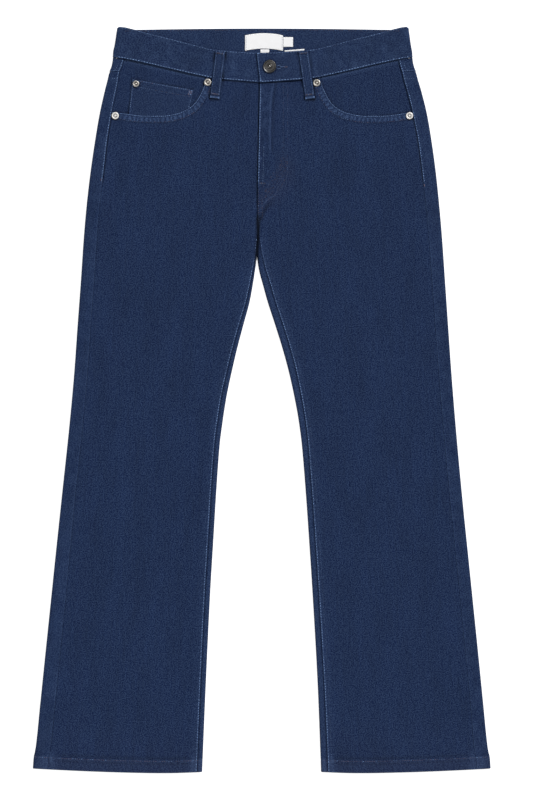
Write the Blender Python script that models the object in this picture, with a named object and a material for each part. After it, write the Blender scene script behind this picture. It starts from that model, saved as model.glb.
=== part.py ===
"""Slim jeans with a slight boot cut, laid flat on a surface with their front up.

The row frame has +X towards the wearer's left, +Y towards the waist and +Z up from the surface.
Each leg is a flattened tube: the back panel lies on the surface, rolls up round both edges of the
leg and meets the front panel at the side seam and the inseam, a little way in from the edge.
Lengths in the tables are millimetres; heights are measured up the garment from the hem's corners.
"""

import math

import bmesh
import bpy
import numpy as np
from mathutils.bvhtree import BVHTree

MM = 0.001

# Driving sizes of the garment
HEM_LOW = -0.9 * MM  # the hem's lowest point
WAIST_CORNER_TOP = 1025.4 * MM  # the waistband's top corner
MIDDLE_HEIGHT = (HEM_LOW + WAIST_CORNER_TOP) / 2
MIDDLE = 2.4 * MM  # the line that the fronts, pockets and waistband are laid out from
CROTCH = 750.0 * MM  # height at which the legs part
YOKE_SIDE = 964.0 * MM  # yoke seam at the side
YOKE_DROP = 58.0 * MM  # how far the yoke seam falls to the centre back
WAIST_BACK = 983.2 * MM  # waistband seam round the sides and back
WAIST_BACK_TOP = (1021.7 * MM, 1.6 * MM, 165 * MM)  # at the sides, its arch, and where the arch ends
HEM_DEPTH = 16.0 * MM
HEM_OUTER_RISE = 6.3 * MM
HEM_INNER_RISE = 1.6 * MM

# Cloth thicknesses and the gap left between pieces
WALL = 1.2 * MM
HEM_WALL = 2.2 * MM
BAND_WALL = 2.0 * MM
THIN = 1.0 * MM
TAPE = 0.5 * MM
GAP = 0.3 * MM
SEAM = GAP / 2

# Levels above the surface
BAND_TOP = 6.4 * MM  # top of the front waistband
SEAT_LIFT = 1.3 * MM  # the seat rides on its pockets and back loops by this much
COIN_BUMP = 1.3 * MM  # the pocket mouth rides over the coin pocket
FLY_BUMP = 1.5 * MM  # the left front rides over the right one at the fly
BAND_BUMP = 2.3 * MM  # the buttoned end of the waistband rides over the other end

# Where the two legs' outer edges lie
OUTER = [  # height, right leg, left leg
    (-0.9, -314.6, 315.3),
    (16, -313.3, 314.0),
    (20, -312.3, 312.8),
    (30, -310.5, 311.1),
    (88, -304.6, 305.3),
    (187, -294.8, 295.8),
    (286, -284.7, 285.8),
    (385, -274.2, 275.7),
    (484, -263.7, 266.7),
    (550, -257.7, 261.4),
    (616, -253.0, 256.8),
    (671, -248.9, 253.0),
    (737, -244.4, 248.4),
    (781, -240.5, 244.6),
    (825, -235.4, 240.0),
    (869, -229.0, 234.0),
    (905, -222.9, 227.9),
    (938, -215.6, 219.8),
    (954, -211.5, 215.0),
    (964, -209.2, 212.5),
    (972, -206.2, 209.6),
    (981, -204.7, 208.0),
    (990, -204.2, 207.5),
    (1000, -202.2, 205.8),
    (1012, -200.4, 204.1),
    (1025.4, -198.4, 202.2),
]
# Where the inner edges lie, up to where the legs meet
INNER = [  # height, right leg, left leg
    (-0.9, -81.6, 82.0),
    (121, -76.5, 77.2),
    (253, -70.2, 69.8),
    (319, -66.2, 65.5),
    (385, -62.2, 60.9),
    (451, -57.4, 55.4),
    (484, -53.2, 51.1),
    (517, -48.0, 45.1),
    (550, -41.1, 37.8),
    (583, -33.4, 28.9),
    (616, -24.7, 18.6),
    (649, -15.9, 7.9),
    (671, -11.9, 1.8),
    (687, -9.4, -2.6),
    (700, -7.6, -5.0),
    (712, -6.7, -6.1),
]
# The centre front line, which is also the fly's edge
CENTRE = [  # height, place across
    (700, -6.4),
    (712, -6.4),
    (750, -5.0),
    (780, -5.6),
    (810, -5.2),
    (860, -4.1),
    (905, -3.3),
    (947, -2.4),
    (968, -4.4),
    (990, -7.0),
]
# How far in from the outer edge the side seam lies on top
SIDE_WRAP = [  # height, right leg, left leg
    (0, 20.5, 19.5),
    (90, 20.5, 17.8),
    (251, 20.0, 17.4),
    (416, 18.5, 17.5),
    (750, 18.3, 18.6),
    (828, 18.2, 19.0),
    (870, 16.9, 18.8),
    (900, 16.6, 19.6),
    (943, 15.6, 19.8),
    (964, 14.0, 19.4),
    (983, 15.6, 19.0),
]
# How far round the leg the inseam lies, from the middle of the inner fold
INNER_WRAP = [  # height, right leg, left leg
    (0, 8.2, 10.4),
    (251, 8.0, 9.2),
    (416, 8.0, 9.2),
    (500, 8.0, 10.2),
    (602, 7.0, 11.6),
    (663, 5.2, 11.4),
    (700, 3.4, 9.6),
    (728, 1.4, 5.0),
    (750, 0.0, 0.0),
]
# Height of the folds, and how far the cloth sinks between them
LEVELS = [  # height, fold's top, sag
    (0, 5.4, 0.0),
    (30, 5.3, 0.1),
    (90, 4.9, 0.9),
    (200, 4.8, 1.1),
    (300, 4.9, 0.9),
    (420, 4.9, 1.2),
    (540, 5.0, 0.9),
    (640, 5.2, 0.7),
    (720, 5.4, 0.2),
    (770, 5.6, 0.0),
    (1026, 5.6, 0.0),
]
# The front waistband's edges, by distance from the middle line
BAND = [  # distance, seam height, top height
    (0, 948.4, 989.2),
    (30, 950.6, 990.8),
    (58, 953.0, 993.0),
    (72, 954.8, 994.8),
    (84, 957.3, 997.6),
    (98, 960.2, 1001.3),
    (125, 966.4, 1008.3),
    (152, 972.8, 1014.9),
    (180, 978.9, 1022.1),
    (193, 981.3, 1024.9),
    (206, 983.2, 1025.4),
]
# The mouth of the front pocket, by distance from the middle line
MOUTH = [  # distance, height
    (78.0, 955.8),
    (80.0, 948.0),
    (86.6, 932.4),
    (93.4, 921.4),
    (102.2, 913.4),
    (116.6, 906.8),
    (139.7, 903.0),
    (161.2, 903.0),
    (195.2, 906.8),
    (209.0, 908.8),
]
MOUTH_TUCK = 14.0 * MM  # how far the facing runs on under the mouth
FACING_END = 63.0 * MM  # the facing's end, from the middle line

# The coin pocket's corners, by distance from the middle line
COIN = [  # corner at the top, distance, height, lean of its side in mm per mm
    ("outer", 180.0, 953.6, 0.101),
    ("inner", 95.9, 938.4, 0.219),
]
COIN_TUCK = 8.0 * MM

# The fly
FLY_LAP = 18.0 * MM  # how far the right front runs on under the left
FLY_END = (797.0 * MM, 813.0 * MM)  # the lap starts and is whole at these heights
SHIELD = (-12.0 * MM, 30.0 * MM)
BAND_LAP = 32.0 * MM

# Belt loops
LOOP_WIDTH = 13.0 * MM
LOOP_BOW = 0.6 * MM
FRONT_LOOPS = [  # name, top's place across, top's height, foot's place across, foot's height
    ("belt_loop_front_right", -56.3, 991.2, -64.4, 926.8),
    ("belt_loop_front_left", 57.3, 991.6, 66.8, 926.2),
]
BACK_LOOPS = [  # name, place across
    ("belt_loop_back_right", -118.0),
    ("belt_loop_back_centre", 0.0),
    ("belt_loop_back_left", 118.0),
]
BACK_LOOP_SPAN = (926.0 * MM, 1021.0 * MM)

# Back pockets, by distance from the centre back seam
BACK_POCKET = [  # distance, height: round the pocket from its inner top corner
    (32, 908),
    (30, 812),
    (88, 788),
    (150, 818),
    (160, 922),
]

# Labels inside the back waistband
LABEL = (-22.6, 29.6, 992.6, 1013.8)  # left, right, low and high edges
LABEL_ARCH = 3.0 * MM
SIZE_TAB = (30.0, 43.4, 998.0, 1011.4)
LOWER_TAB = (-1.4, 10.6, 978.0, 994.6)
CARE_LABEL = (31.8, 58.9, 976.0, 993.2)
CARE_SLOPE = 0.075

# Metal pieces
BUTTON_PLACE = (11.3 * MM, 970.3 * MM)
BUTTON_PROFILE = [  # radius, height over the shank's foot
    (0.0, 0.0),
    (3.0, 0.0),
    (3.0, 2.3),
    (8.1, 2.3),
    (8.8, 3.0),
    (8.6, 4.0),
    (7.8, 4.6),
    (6.9, 4.5),
    (3.2, 4.1),
    (2.6, 4.5),
    (1.9, 4.1),
    (1.2, 4.2),
    (0.0, 4.5),
]
BUTTONHOLE = (3.6 * MM, 0.6 * MM, 27.0 * MM)  # eye's radius, slit's half width and far end
RIVET_PROFILE = [  # radius, height over the cloth
    (0.0, 0.0),
    (4.7, 0.0),
    (4.9, 0.5),
    (4.4, 1.0),
    (2.9, 0.9),
    (2.3, 0.5),
    (1.5, 0.6),
    (0.9, 1.1),
    (0.0, 1.3),
]
RIVETS = [  # name, place across, height, cloth it sits on
    ("rivet_right_inner", -74.0, 949.0, "front_panel_right"),
    ("rivet_right_outer", -201.0, 903.0, "front_panel_right"),
    ("rivet_coin_pocket", -172.6, 947.0, "coin_pocket"),
    ("rivet_left_inner", 75.9, 948.2, "front_panel_left"),
    ("rivet_left_outer", 203.5, 903.0, "front_panel_left"),
]

# How finely the panels are divided
LEG_ROWS = [-0.9, 15, 18, 30, 60, 120, 185, 255, 325, 390, 450, 505, 555, 600, 640, 668, 692, 712, 730]
LEG_ROWS += [745, 755, 771, 795, 813, 840, 866, 888]  # mm above the hem
UPPER = 888.0 * MM  # above this height the rows bend to follow the pocket mouth or the yoke
UPPER_SHARES = (0.18, 0.4, 0.62, 0.82, 1.0)
BACK_SHARES = (0.35, 0.7, 1.0)
BAND_LEFT_COLUMNS = (0.0, 0.03, 0.09, 0.17, 0.24, 0.29, 0.34, 0.39, 0.46, 0.56, 0.68, 0.8, 0.9, 0.96)
BAND_RIGHT_COLUMNS = (0.96, 0.9, 0.81, 0.7, 0.59, 0.5, 0.45, 0.4, 0.35, 0.27, 0.2, 0.14, 0.08, 0.0)
FLOOR_SHARES = (0.0, 0.08, 0.21, 0.45, 0.72)
FRONT_FIXED = (0.0, 1.5, 3.2, 5.4, 9.0)  # mm from the inseam or the centre front
FRONT_COLUMNS = (13, 28, 50, 64, 73, 78, 81.5, 85, 89, 94, 100, 108, 120, 140, 163, 183, 195)  # from the middle

DENIM = ("denim", (0.0160, 0.0296, 0.0762), 0.85, 0.0)
DENIM_LIGHT = ("denim_trim", (0.0200, 0.0360, 0.0880), 0.85, 0.0)
LABEL_CLOTH = ("label", (0.82, 0.82, 0.83), 0.6, 0.0)
GUNMETAL = ("button_metal", (0.080, 0.077, 0.072), 0.38, 1.0)
NICKEL = ("rivet_metal", (0.62, 0.59, 0.56), 0.34, 1.0)


def smooth_curve(table, column):
    """A smooth curve through one column of a table that doesn't overshoot its rows."""
    at = np.array([row[0] for row in table], float) * MM
    value = np.array([row[column] for row in table], float) * MM
    step = np.diff(at)
    slope = np.diff(value) / step
    tangent = np.concatenate([slope[:1], np.zeros(len(slope) - 1), slope[-1:]])
    for i in range(1, len(slope)):
        if slope[i - 1] * slope[i] > 0:
            tangent[i] = 2 * slope[i - 1] * slope[i] / (slope[i - 1] + slope[i])

    def curve(place):
        place = np.clip(place, at[0], at[-1])
        k = np.clip(np.searchsorted(at, place) - 1, 0, len(step) - 1)
        t = (place - at[k]) / step[k]
        low = value[k] * (1 + 2 * t) * (1 - t) ** 2 + step[k] * tangent[k] * t * (1 - t) ** 2
        high = value[k + 1] * t**2 * (3 - 2 * t) - step[k] * tangent[k + 1] * t**2 * (1 - t)
        return low + high

    return curve


def both_legs(table):
    """One curve for each leg: side -1 is the wearer's right leg and side +1 the left."""
    return {-1: smooth_curve(table, 1), 1: smooth_curve(table, 2)}


outer_edge = both_legs(OUTER)
inner_fold = both_legs(INNER)
side_wrap = both_legs(SIDE_WRAP)
inner_wrap = both_legs(INNER_WRAP)
centre_line = smooth_curve(CENTRE, 1)
fold_top = smooth_curve(LEVELS, 1)
sag_depth = smooth_curve(LEVELS, 2)
band_seam = smooth_curve(BAND, 1)
band_edge = smooth_curve(BAND, 2)
mouth_line = smooth_curve(MOUTH, 1)


def rise(value, start, end):
    """0 up to start, 1 past end, and a smooth step between them."""
    t = np.clip((value - start) / (end - start), 0, 1)
    return t * t * (3 - 2 * t)


def inner_edge(side, height):
    """The leg's inner edge, which is the centre line where the two halves are joined."""
    joined = centre_line(height) + side * SEAM
    apart = side * (inner_fold[side](height) - centre_line(height)) > GAP
    apart = apart & (height < INNER[-1][0] * MM)
    fold = np.where(apart, inner_fold[side](height), centre_line(height) + side * GAP)
    return np.where(height < CROTCH, fold, joined)


def side_seam(side, height):
    return outer_edge[side](height) - side * side_wrap[side](height)


def cloth_top(side, x, height):
    """The upper cloth's outer face, before anything under it lifts it."""
    edge_zone = 34 * MM
    inward = np.minimum(side * (outer_edge[side](height) - x), side * (x - inner_edge(side, height)))
    return fold_top(height) - sag_depth(height) * rise(inward, 3 * MM, edge_zone)


def front_top(side, x, height):
    """The front panel's outer face."""
    top = cloth_top(side, x, height)
    if side < 0:
        across = np.abs(x - MIDDLE)
        over_coin = rise(across, 83 * MM, 97 * MM) * (1 - rise(across, 191 * MM, 201 * MM))
        return top + COIN_BUMP * over_coin * rise(height, 862 * MM, 886 * MM)
    across = x - centre_line(height)
    over_lap = 1 - rise(across, 27 * MM, 50 * MM)
    return top + FLY_BUMP * over_lap * rise(height, 771 * MM, 795 * MM)


def floor_level(side, x, height):
    """The back's outer face, lifted where the back pockets and loops lie under it."""
    across = np.abs(x - centre_line(height))
    return SEAT_LIFT * rise(height, 752 * MM, 771 * MM) * (1 - rise(across, 178 * MM, 200 * MM))


def hem_rise(side, x, height):
    """The hem's gentle curve: its outer corner lies higher than its middle."""
    outer, inner = outer_edge[side](height), inner_edge(side, height)
    share = (x - outer) / (inner - outer)
    curve = HEM_OUTER_RISE * np.clip(1 - share / 0.75, 0, 1) ** 1.6
    curve = curve + HEM_INNER_RISE * np.clip((share - 0.8) / 0.2, 0, 1) ** 1.5
    return curve * (1 - rise(height, 40 * MM, 260 * MM))


def wall_at(height):
    """The hem is turned up, so the cloth is thicker there."""
    return HEM_WALL + (WALL - HEM_WALL) * rise(height, HEM_DEPTH - 1 * MM, HEM_DEPTH + 2 * MM)


def round_inner_fold(side, along, height):
    """A point on the leg's skin by its distance from the middle of the inner fold, up or down."""
    radius = fold_top(height) / 2
    quarter = radius * math.pi / 2
    edge = inner_edge(side, height)
    turn = np.clip(along / radius, -math.pi / 2, math.pi / 2)
    past = np.maximum(np.abs(along) - quarter, 0)
    x = edge + side * (radius * (1 - np.cos(turn)) + past)
    on_top = front_top(side, x, height)
    z = np.where(along > quarter, on_top, radius + radius * np.sin(turn))
    return x, z, -side * np.cos(turn), np.sin(turn)


def front_point(side, along, height):
    """A point on the front panel. Above the crotch it lies straight across from the centre line."""
    rolled = round_inner_fold(side, along, height)
    x = inner_edge(side, height) + side * along
    flat = (x, front_top(side, x, height), np.zeros_like(x), np.ones_like(x))
    return tuple(np.where(height < CROTCH, a, b) for a, b in zip(rolled, flat))


def front_span(side, height):
    """Where the front panel starts and ends along the skin: at the inseam or fly, and the side seam."""
    radius = fold_top(height) / 2
    lap = FLY_LAP * rise(height, *FLY_END) if side < 0 else 0.0 * height
    start = np.where(height < CROTCH, inner_wrap[side](height), -lap)
    turned = np.where(height < CROTCH, radius * (math.pi / 2 - 1), 0.0)
    width = side * (side_seam(side, height) - inner_edge(side, height))
    return start, width + turned - SEAM


def front_ceiling(x):
    """The front panel's top edge: the waistband seam, or the pocket mouth further out."""
    across = np.abs(x - MIDDLE)
    seam = band_seam(across) - GAP
    return np.where(across > MOUTH[0][0] * MM, np.minimum(mouth_line(across), seam), seam)


def front_shares(side, columns, fixed):
    """The front panel's columns as shares of its width, from their places at the pocket's height."""
    at = 925 * MM
    start, end = front_span(side, at)
    inner = start + fixed[-1] * MM
    places = MIDDLE + side * np.array(columns) * MM
    return list((side * (places - inner_edge(side, at)) - inner) / (end - inner)) + [1.0]


def front_rows(side, shares, fixed, rows, upper_shares):
    """Heights and distances along the skin of the front panel's grid."""
    def along_at(column, height):
        start, end = front_span(side, height)
        inner = fixed[column] * MM if column < len(fixed) else fixed[-1] * MM
        share = 0.0 if column < len(fixed) else shares[column - len(fixed)]
        return start + inner + (end - start - inner) * share

    heights, places = [], []
    for column in range(len(fixed) + len(shares)):
        low = np.array(rows, float) * MM
        floor, ceiling = UPPER, 990 * MM
        for _ in range(40):
            middle = np.array((floor + ceiling) / 2)
            x = front_point(side, along_at(column, middle), middle)[0]
            if middle < front_ceiling(x):
                floor = float(middle)
            else:
                ceiling = float(middle)
        height = np.concatenate([low, UPPER + (floor - UPPER) * np.array(upper_shares)])
        heights.append(height)
        places.append(along_at(column, height))
    return np.array(heights).T, np.array(places).T


def skin(x, z, normal_x, normal_z, wall):
    """The inner face of a wall, from its outer face."""
    return x - normal_x * wall, z - normal_z * wall


def front_panel(side):
    shares = front_shares(side, FRONT_COLUMNS, FRONT_FIXED)
    height, along = front_rows(side, shares, FRONT_FIXED, LEG_ROWS, UPPER_SHARES)
    x, z, normal_x, normal_z = front_point(side, along, height)
    inner_x, inner_z = skin(x, z, normal_x, normal_z, wall_at(height))
    y = height + hem_rise(side, x, height)
    return (x, y, z), (inner_x, y, inner_z)


def back_point(side, zone, share, height):
    """A point on the back's skin, from the side seam round under the leg to the inseam."""
    outer, inner = outer_edge[side](height), inner_edge(side, height)
    radius = fold_top(height) / 2
    parted = height < CROTCH
    quarter = radius * math.pi / 2
    inner_turn = np.where(parted, radius, 3 * MM)
    zero, one = np.zeros_like(height), np.ones_like(height)
    if zone == "wrap":
        start = side_wrap[side](height) - SEAM
        x = outer - side * (start + (radius - start) * share)
        return x, cloth_top(side, x, height), zero, one
    if zone == "roll":
        turn = math.pi / 2 - math.pi * share
        x = outer - side * radius * (1 - math.cos(turn))
        return x, radius + radius * math.sin(turn), side * math.cos(turn) * one, math.sin(turn) * one
    if zone == "floor":
        start, end = outer - side * radius, inner + side * inner_turn
        x = start + (end - start) * share
        return x, floor_level(side, x, height), zero, -one
    end = inner_wrap[side](height) - 1.5 * GAP
    along = -quarter + (end + quarter) * share
    rolled = round_inner_fold(side, along, height)
    x = inner + side * inner_turn * (1 - share)
    flat = (x, floor_level(side, x, height), zero, -one)
    return tuple(np.where(parted, a, b) for a, b in zip(rolled, flat))


def back_columns(wraps, rolls, floors, tails):
    """The zones round the back panel, as (zone, share) for each column."""
    columns = [("wrap", i / wraps) for i in range(wraps)]
    columns += [("roll", i / rolls) for i in range(rolls)]
    columns += [("floor", share) for share in floors]
    return columns + [("tail", i / tails) for i in range(tails + 1)]


def yoke_seam(zone, share):
    """The yoke seam runs level round the side and falls to the centre back."""
    fallen = {"wrap": 0.0, "roll": 0.0, "floor": share, "tail": 1.0}[zone]
    return YOKE_SIDE - YOKE_DROP * fallen


def gather_columns(parts):
    """Columns of (x, y, z) triples, as three arrays of rows by columns."""
    return tuple(np.array([part[i] for part in parts]).T for i in range(3))


def back_sheet(side, columns, heights_of, wall):
    """The outer and inner faces of a piece of the back."""
    outside, inside = [], []
    for zone, share in columns:
        height = heights_of(zone, share)
        x, z, normal_x, normal_z = back_point(side, zone, share, height)
        inner_x, inner_z = skin(x, z, normal_x, normal_z, wall(height))
        y = height + hem_rise(side, x, height)
        outside.append((x, y, z))
        inside.append((inner_x, y, inner_z))
    return gather_columns(outside), gather_columns(inside)


def back_panel(side):
    def heights(zone, share):
        low = np.array(LEG_ROWS, float) * MM
        top = yoke_seam(zone, share) - SEAM
        return np.concatenate([low, UPPER + (top - UPPER) * np.array(BACK_SHARES)])

    return back_sheet(side, back_columns(1, 5, FLOOR_SHARES, 8), heights, wall_at)


def yoke(side):
    def heights(zone, share):
        low = yoke_seam(zone, share) + SEAM
        top = WAIST_BACK
        if zone == "wrap":
            seam_x = back_point(side, zone, share, np.array([WAIST_BACK]))[0][0]
            top = float(band_seam(abs(seam_x - MIDDLE)))
        return low + (top - GAP - low) * np.linspace(0, 1, 4)

    return back_sheet(side, back_columns(1, 5, FLOOR_SHARES, 2), heights, lambda height: WALL)


def pocket_facing(side):
    """The cloth that shows inside the pocket mouth. It lies one layer lower than the front panel."""
    shares, rows = np.linspace(0, 1, 12), np.linspace(0, 1, 6)
    outside = []
    for share in shares:
        def across_at(height):
            start = side * (side_seam(side, height) - MIDDLE) - SEAM
            return start + (FACING_END - start) * share

        low = np.array(920 * MM)
        high = np.array(970 * MM)
        for _ in range(6):
            low = mouth_line(np.maximum(across_at(low), 80 * MM) + 6 * MM) - MOUTH_TUCK
            high = band_seam(across_at(high)) - GAP
        height = low + (high - low) * rows
        x = MIDDLE + side * across_at(height)
        outside.append((x, height, cloth_top(side, x, height) - WALL - GAP))
    x, y, z = gather_columns(outside)
    return (x, y, z), (x, y, z - WALL)


def coin_pocket():
    """The small pocket on the right facing, tucked under the pocket mouth."""
    (_, outer_at, outer_high, outer_lean), (_, inner_at, inner_high, inner_lean) = COIN
    outside = []
    for share in np.linspace(0, 1, 9):
        high = (outer_high + (inner_high - outer_high) * share) * MM

        def across_at(height):
            start = outer_at * MM + (outer_high * MM - height) * outer_lean
            end = inner_at * MM + (inner_high * MM - height) * inner_lean
            return start + (end - start) * share

        low = np.array(900 * MM)
        for _ in range(8):
            low = mouth_line(across_at(low)) - COIN_TUCK
        height = low + (high - low) * np.linspace(0, 1, 5)
        x = MIDDLE - across_at(height)
        outside.append((x, height, cloth_top(-1, x, height) - WALL + THIN))
    x, y, z = gather_columns(outside)
    return (x, y, z), (x, y, z - THIN)


def fly_shield():
    """The strip behind the fly, under both fronts."""
    low, high = FLY_END[1], band_seam(0.0) - 4 * MM
    height = np.linspace(low, high, 5)[:, None] * np.ones((1, 4))
    share = np.linspace(0, 1, 4)[None, :]
    x = centre_line(height) + SHIELD[0] + (SHIELD[1] - SHIELD[0]) * share
    z = cloth_top(1, x, height) - WALL - GAP
    return (x, height, z), (x, height, z - THIN)


def band_top(side, across):
    """The front waistband's outer face, by distance from the middle line."""
    if side < 0:
        return BAND_TOP + 0 * across
    return BAND_TOP + BAND_BUMP * (1 - rise(across, 38 * MM, 64 * MM))


def back_top(x):
    level, arch, reach = WAIST_BACK_TOP
    return level + arch * np.clip(1 - (x / reach) ** 2, 0, 1)


def waistband():
    """One band from its buttoned end round the back to the end that lies under it."""
    radius = BAND_TOP / 2
    rows = np.array([0.0, 0.08, 0.5, 0.92, 1.0])
    columns = [(1, "top", share) for share in BAND_LEFT_COLUMNS]
    columns += [(1, "roll", i / 6) for i in range(6)]
    columns += [(0, "floor", i / 10) for i in range(11)]
    columns += [(-1, "roll", 1 - i / 6) for i in range(1, 7)]
    columns += [(-1, "top", share) for share in BAND_RIGHT_COLUMNS]
    outside, inside = [], []
    for side, zone, share in columns:
        height = WAIST_BACK + (WAIST_CORNER_TOP - WAIST_BACK) * rows
        for _ in range(6):
            if zone == "top":
                start = centre_line(height) + (BAND_LAP if side < 0 else 0.0)
                end = outer_edge[side](height) - side * radius
                x = start + (end - start) * share
                across = np.abs(x - MIDDLE)
                low, high = band_seam(across), band_edge(across)
                z = band_top(side, across)
                turn = math.pi / 2
            elif zone == "roll":
                turn = math.pi / 2 - math.pi * share
                x = outer_edge[side](height) - side * radius * (1 - math.cos(turn))
                z = radius + radius * math.sin(turn) + 0 * x
                low, high = WAIST_BACK, WAIST_CORNER_TOP - share * (WAIST_CORNER_TOP - back_top(x))
            else:
                start, end = outer_edge[1](height) - radius, outer_edge[-1](height) + radius
                x = start + (end - start) * share
                z = floor_level(0, x, height)
                turn = -math.pi / 2
                low, high = WAIST_BACK, back_top(x)
            height = low + (high - low) * rows
        outside.append((x, height, z))
        normal_x = side * math.cos(turn) if zone == "roll" else 0.0
        inner_x, inner_z = skin(x, z, normal_x, math.sin(turn), BAND_WALL)
        inside.append((inner_x, height, inner_z))
    return gather_columns(outside), gather_columns(inside)


def front_loop(top_x, top_y, foot_x, foot_y):
    """A belt loop over the waistband, turned under at both ends."""
    side = 1 if top_x > 0 else -1
    along = np.array([0.0, 0.05, 0.25, 0.45, 0.62, 0.72, 0.92, 1.0])[:, None]
    turned = np.array([1, 1, 0, 0, 0, 0, 1, 1])[:, None] * 0.9 * MM
    across = np.array([-0.5, 0.0, 0.5])[None, :]
    lean = (foot_x - top_x) / (foot_y - top_y)
    y = (top_y + (foot_y - top_y) * along) * MM + across * LOOP_WIDTH * -lean
    x = (top_x + (foot_x - top_x) * along) * MM + across * LOOP_WIDTH
    centre = np.abs(x - MIDDLE)
    # The step from the band down to the panel starts just past the band's seam.
    on_band = rise(y, band_seam(centre) - 14 * MM, band_seam(centre) - 2 * MM)
    panel, band = front_top(side, x, y), band_top(side, centre)
    under = np.maximum(panel + (band - panel) * on_band, np.where(y > band_seam(centre) - 2 * MM, band, panel))
    bow = LOOP_BOW * np.sin(math.pi * along) * (1 - 0.4 * np.abs(across * 2))
    low = under + GAP + bow
    return (x, y, low + THIN + turned), (x, y, low)


def flat_strip(x, y, low, high):
    """A thin piece whose upper and lower faces lie over the same points."""
    return (x, y, high + 0 * x), (x, y, low + 0 * x)


def back_loop(place):
    y = np.linspace(*BACK_LOOP_SPAN, 5)[:, None] * np.ones((1, 2))
    x = (place * MM + np.array([-0.5, 0.5]) * LOOP_WIDTH)[None, :] + 0 * y
    return flat_strip(x, y, 0.0, THIN)


def band_label(left, right, low, high, arch=0.0, slope=0.0):
    """A woven label on the inside of the back waistband."""
    share = np.linspace(0, 1, 7)[None, :]
    level = np.linspace(0, 1, 3)[:, None]
    x = (left + (right - left) * share) * MM + 0 * level
    y = (low + (high - low) * level) * MM + arch * (1 - (2 * share - 1) ** 2) + slope * (x - left * MM)
    bottom = floor_level(0, x, y) + BAND_WALL + GAP
    return flat_strip(x, y, bottom, bottom + TAPE)


def material(recipe):
    name, colour, roughness, metallic = recipe
    made = bpy.data.materials.get(name) or bpy.data.materials.new(name)
    made.use_nodes = True
    shader = made.node_tree.nodes["Principled BSDF"]
    shader.inputs["Base Color"].default_value = (*colour, 1.0)
    shader.inputs["Roughness"].default_value = roughness
    shader.inputs["Metallic"].default_value = metallic
    return made


def centred(x, y, z):
    """Points of the pattern, moved so that the origin is under the middle of the garment."""
    return np.stack([x, y - MIDDLE_HEIGHT, z], axis=-1).reshape(-1, 3)


def finish_object(mesh, name, recipe, sharp=math.radians(40)):
    """Turns the faces outwards and links the object."""
    work = bmesh.new()
    work.from_mesh(mesh)
    bmesh.ops.triangulate(work, faces=work.faces)
    if work.calc_volume(signed=True) < 0:
        bmesh.ops.reverse_faces(work, faces=work.faces)
    work.to_mesh(mesh)
    work.free()
    mesh.shade_smooth()
    mesh.set_sharp_from_angle(angle=sharp)
    mesh.materials.append(material(recipe))
    made = bpy.data.objects.new(name, mesh)
    bpy.context.scene.collection.objects.link(made)
    return made


def wall_object(name, faces, recipe):
    """A closed wall between an outer and an inner grid of points."""
    (x, y, z), (inner_x, inner_y, inner_z) = faces
    rows, columns = x.shape
    points = np.concatenate([centred(x, y, z), centred(inner_x, inner_y, inner_z)])
    count = rows * columns
    quads = []
    for row in range(rows - 1):
        for column in range(columns - 1):
            a = row * columns + column
            ring = [a, a + 1, a + columns + 1, a + columns]
            quads.append(ring)
            quads.append([count + i for i in reversed(ring)])
    rim = [column for column in range(columns)]
    rim += [row * columns + columns - 1 for row in range(1, rows)]
    rim += [(rows - 1) * columns + column for column in range(columns - 2, -1, -1)]
    rim += [row * columns for row in range(rows - 2, 0, -1)]
    for a, b in zip(rim, rim[1:] + rim[:1]):
        quads.append([b, a, count + a, count + b])
    mesh = bpy.data.meshes.new(name)
    mesh.from_pydata(points.tolist(), [], quads)
    return finish_object(mesh, name, recipe)


def prism_object(name, outline, low, high, recipe):
    """A flat outline, extruded upwards."""
    base = [(x, y - MIDDLE_HEIGHT, low) for x, y in outline]
    count = len(base)
    points = base + [(x, y, high) for x, y, _ in base]
    faces = [list(range(count)), list(range(2 * count - 1, count - 1, -1))]
    faces += [[i, count + i, count + (i + 1) % count, (i + 1) % count] for i in range(count)]
    mesh = bpy.data.meshes.new(name)
    mesh.from_pydata(points, [], faces)
    return finish_object(mesh, name, recipe)


def turned_object(name, profile, place, level, segments, recipe):
    """A round metal piece, turned about an upright axis."""
    points, faces = [], []
    for radius, height in profile[1:-1]:
        for i in range(segments):
            turn = 2 * math.pi * i / segments
            points.append((radius * MM * math.cos(turn), radius * MM * math.sin(turn), height * MM))
    rings = len(profile) - 2
    for ring in range(rings - 1):
        for i in range(segments):
            a, b = ring * segments + i, ring * segments + (i + 1) % segments
            faces.append([a, b, b + segments, a + segments])
    foot, tip = len(points), len(points) + 1
    points += [(0.0, 0.0, profile[0][1] * MM), (0.0, 0.0, profile[-1][1] * MM)]
    last = (rings - 1) * segments
    for i in range(segments):
        faces.append([foot, (i + 1) % segments, i])
        faces.append([tip, last + i, last + (i + 1) % segments])
    mesh = bpy.data.meshes.new(name)
    mesh.from_pydata(points, [], faces)
    made = finish_object(mesh, name, recipe)
    made.location = (place[0], place[1] - MIDDLE_HEIGHT, level)
    return made


def seat_level(cloth, place, radius):
    """The highest point of the cloth under a round piece."""
    tree = BVHTree.FromPolygons([v.co for v in cloth.data.vertices], [p.vertices for p in cloth.data.polygons])
    ring = [(0.0, 0.0)] + [(math.cos(i), math.sin(i)) for i in np.linspace(0, 2 * math.pi, 12, endpoint=False)]
    levels = []
    for x, y in ring:
        start = (place[0] + x * radius, place[1] + y * radius - MIDDLE_HEIGHT, 1.0)
        hit = tree.ray_cast(start, (0, 0, -1))[0]
        if hit:
            levels.append(hit.z)
    return max(levels)


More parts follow.
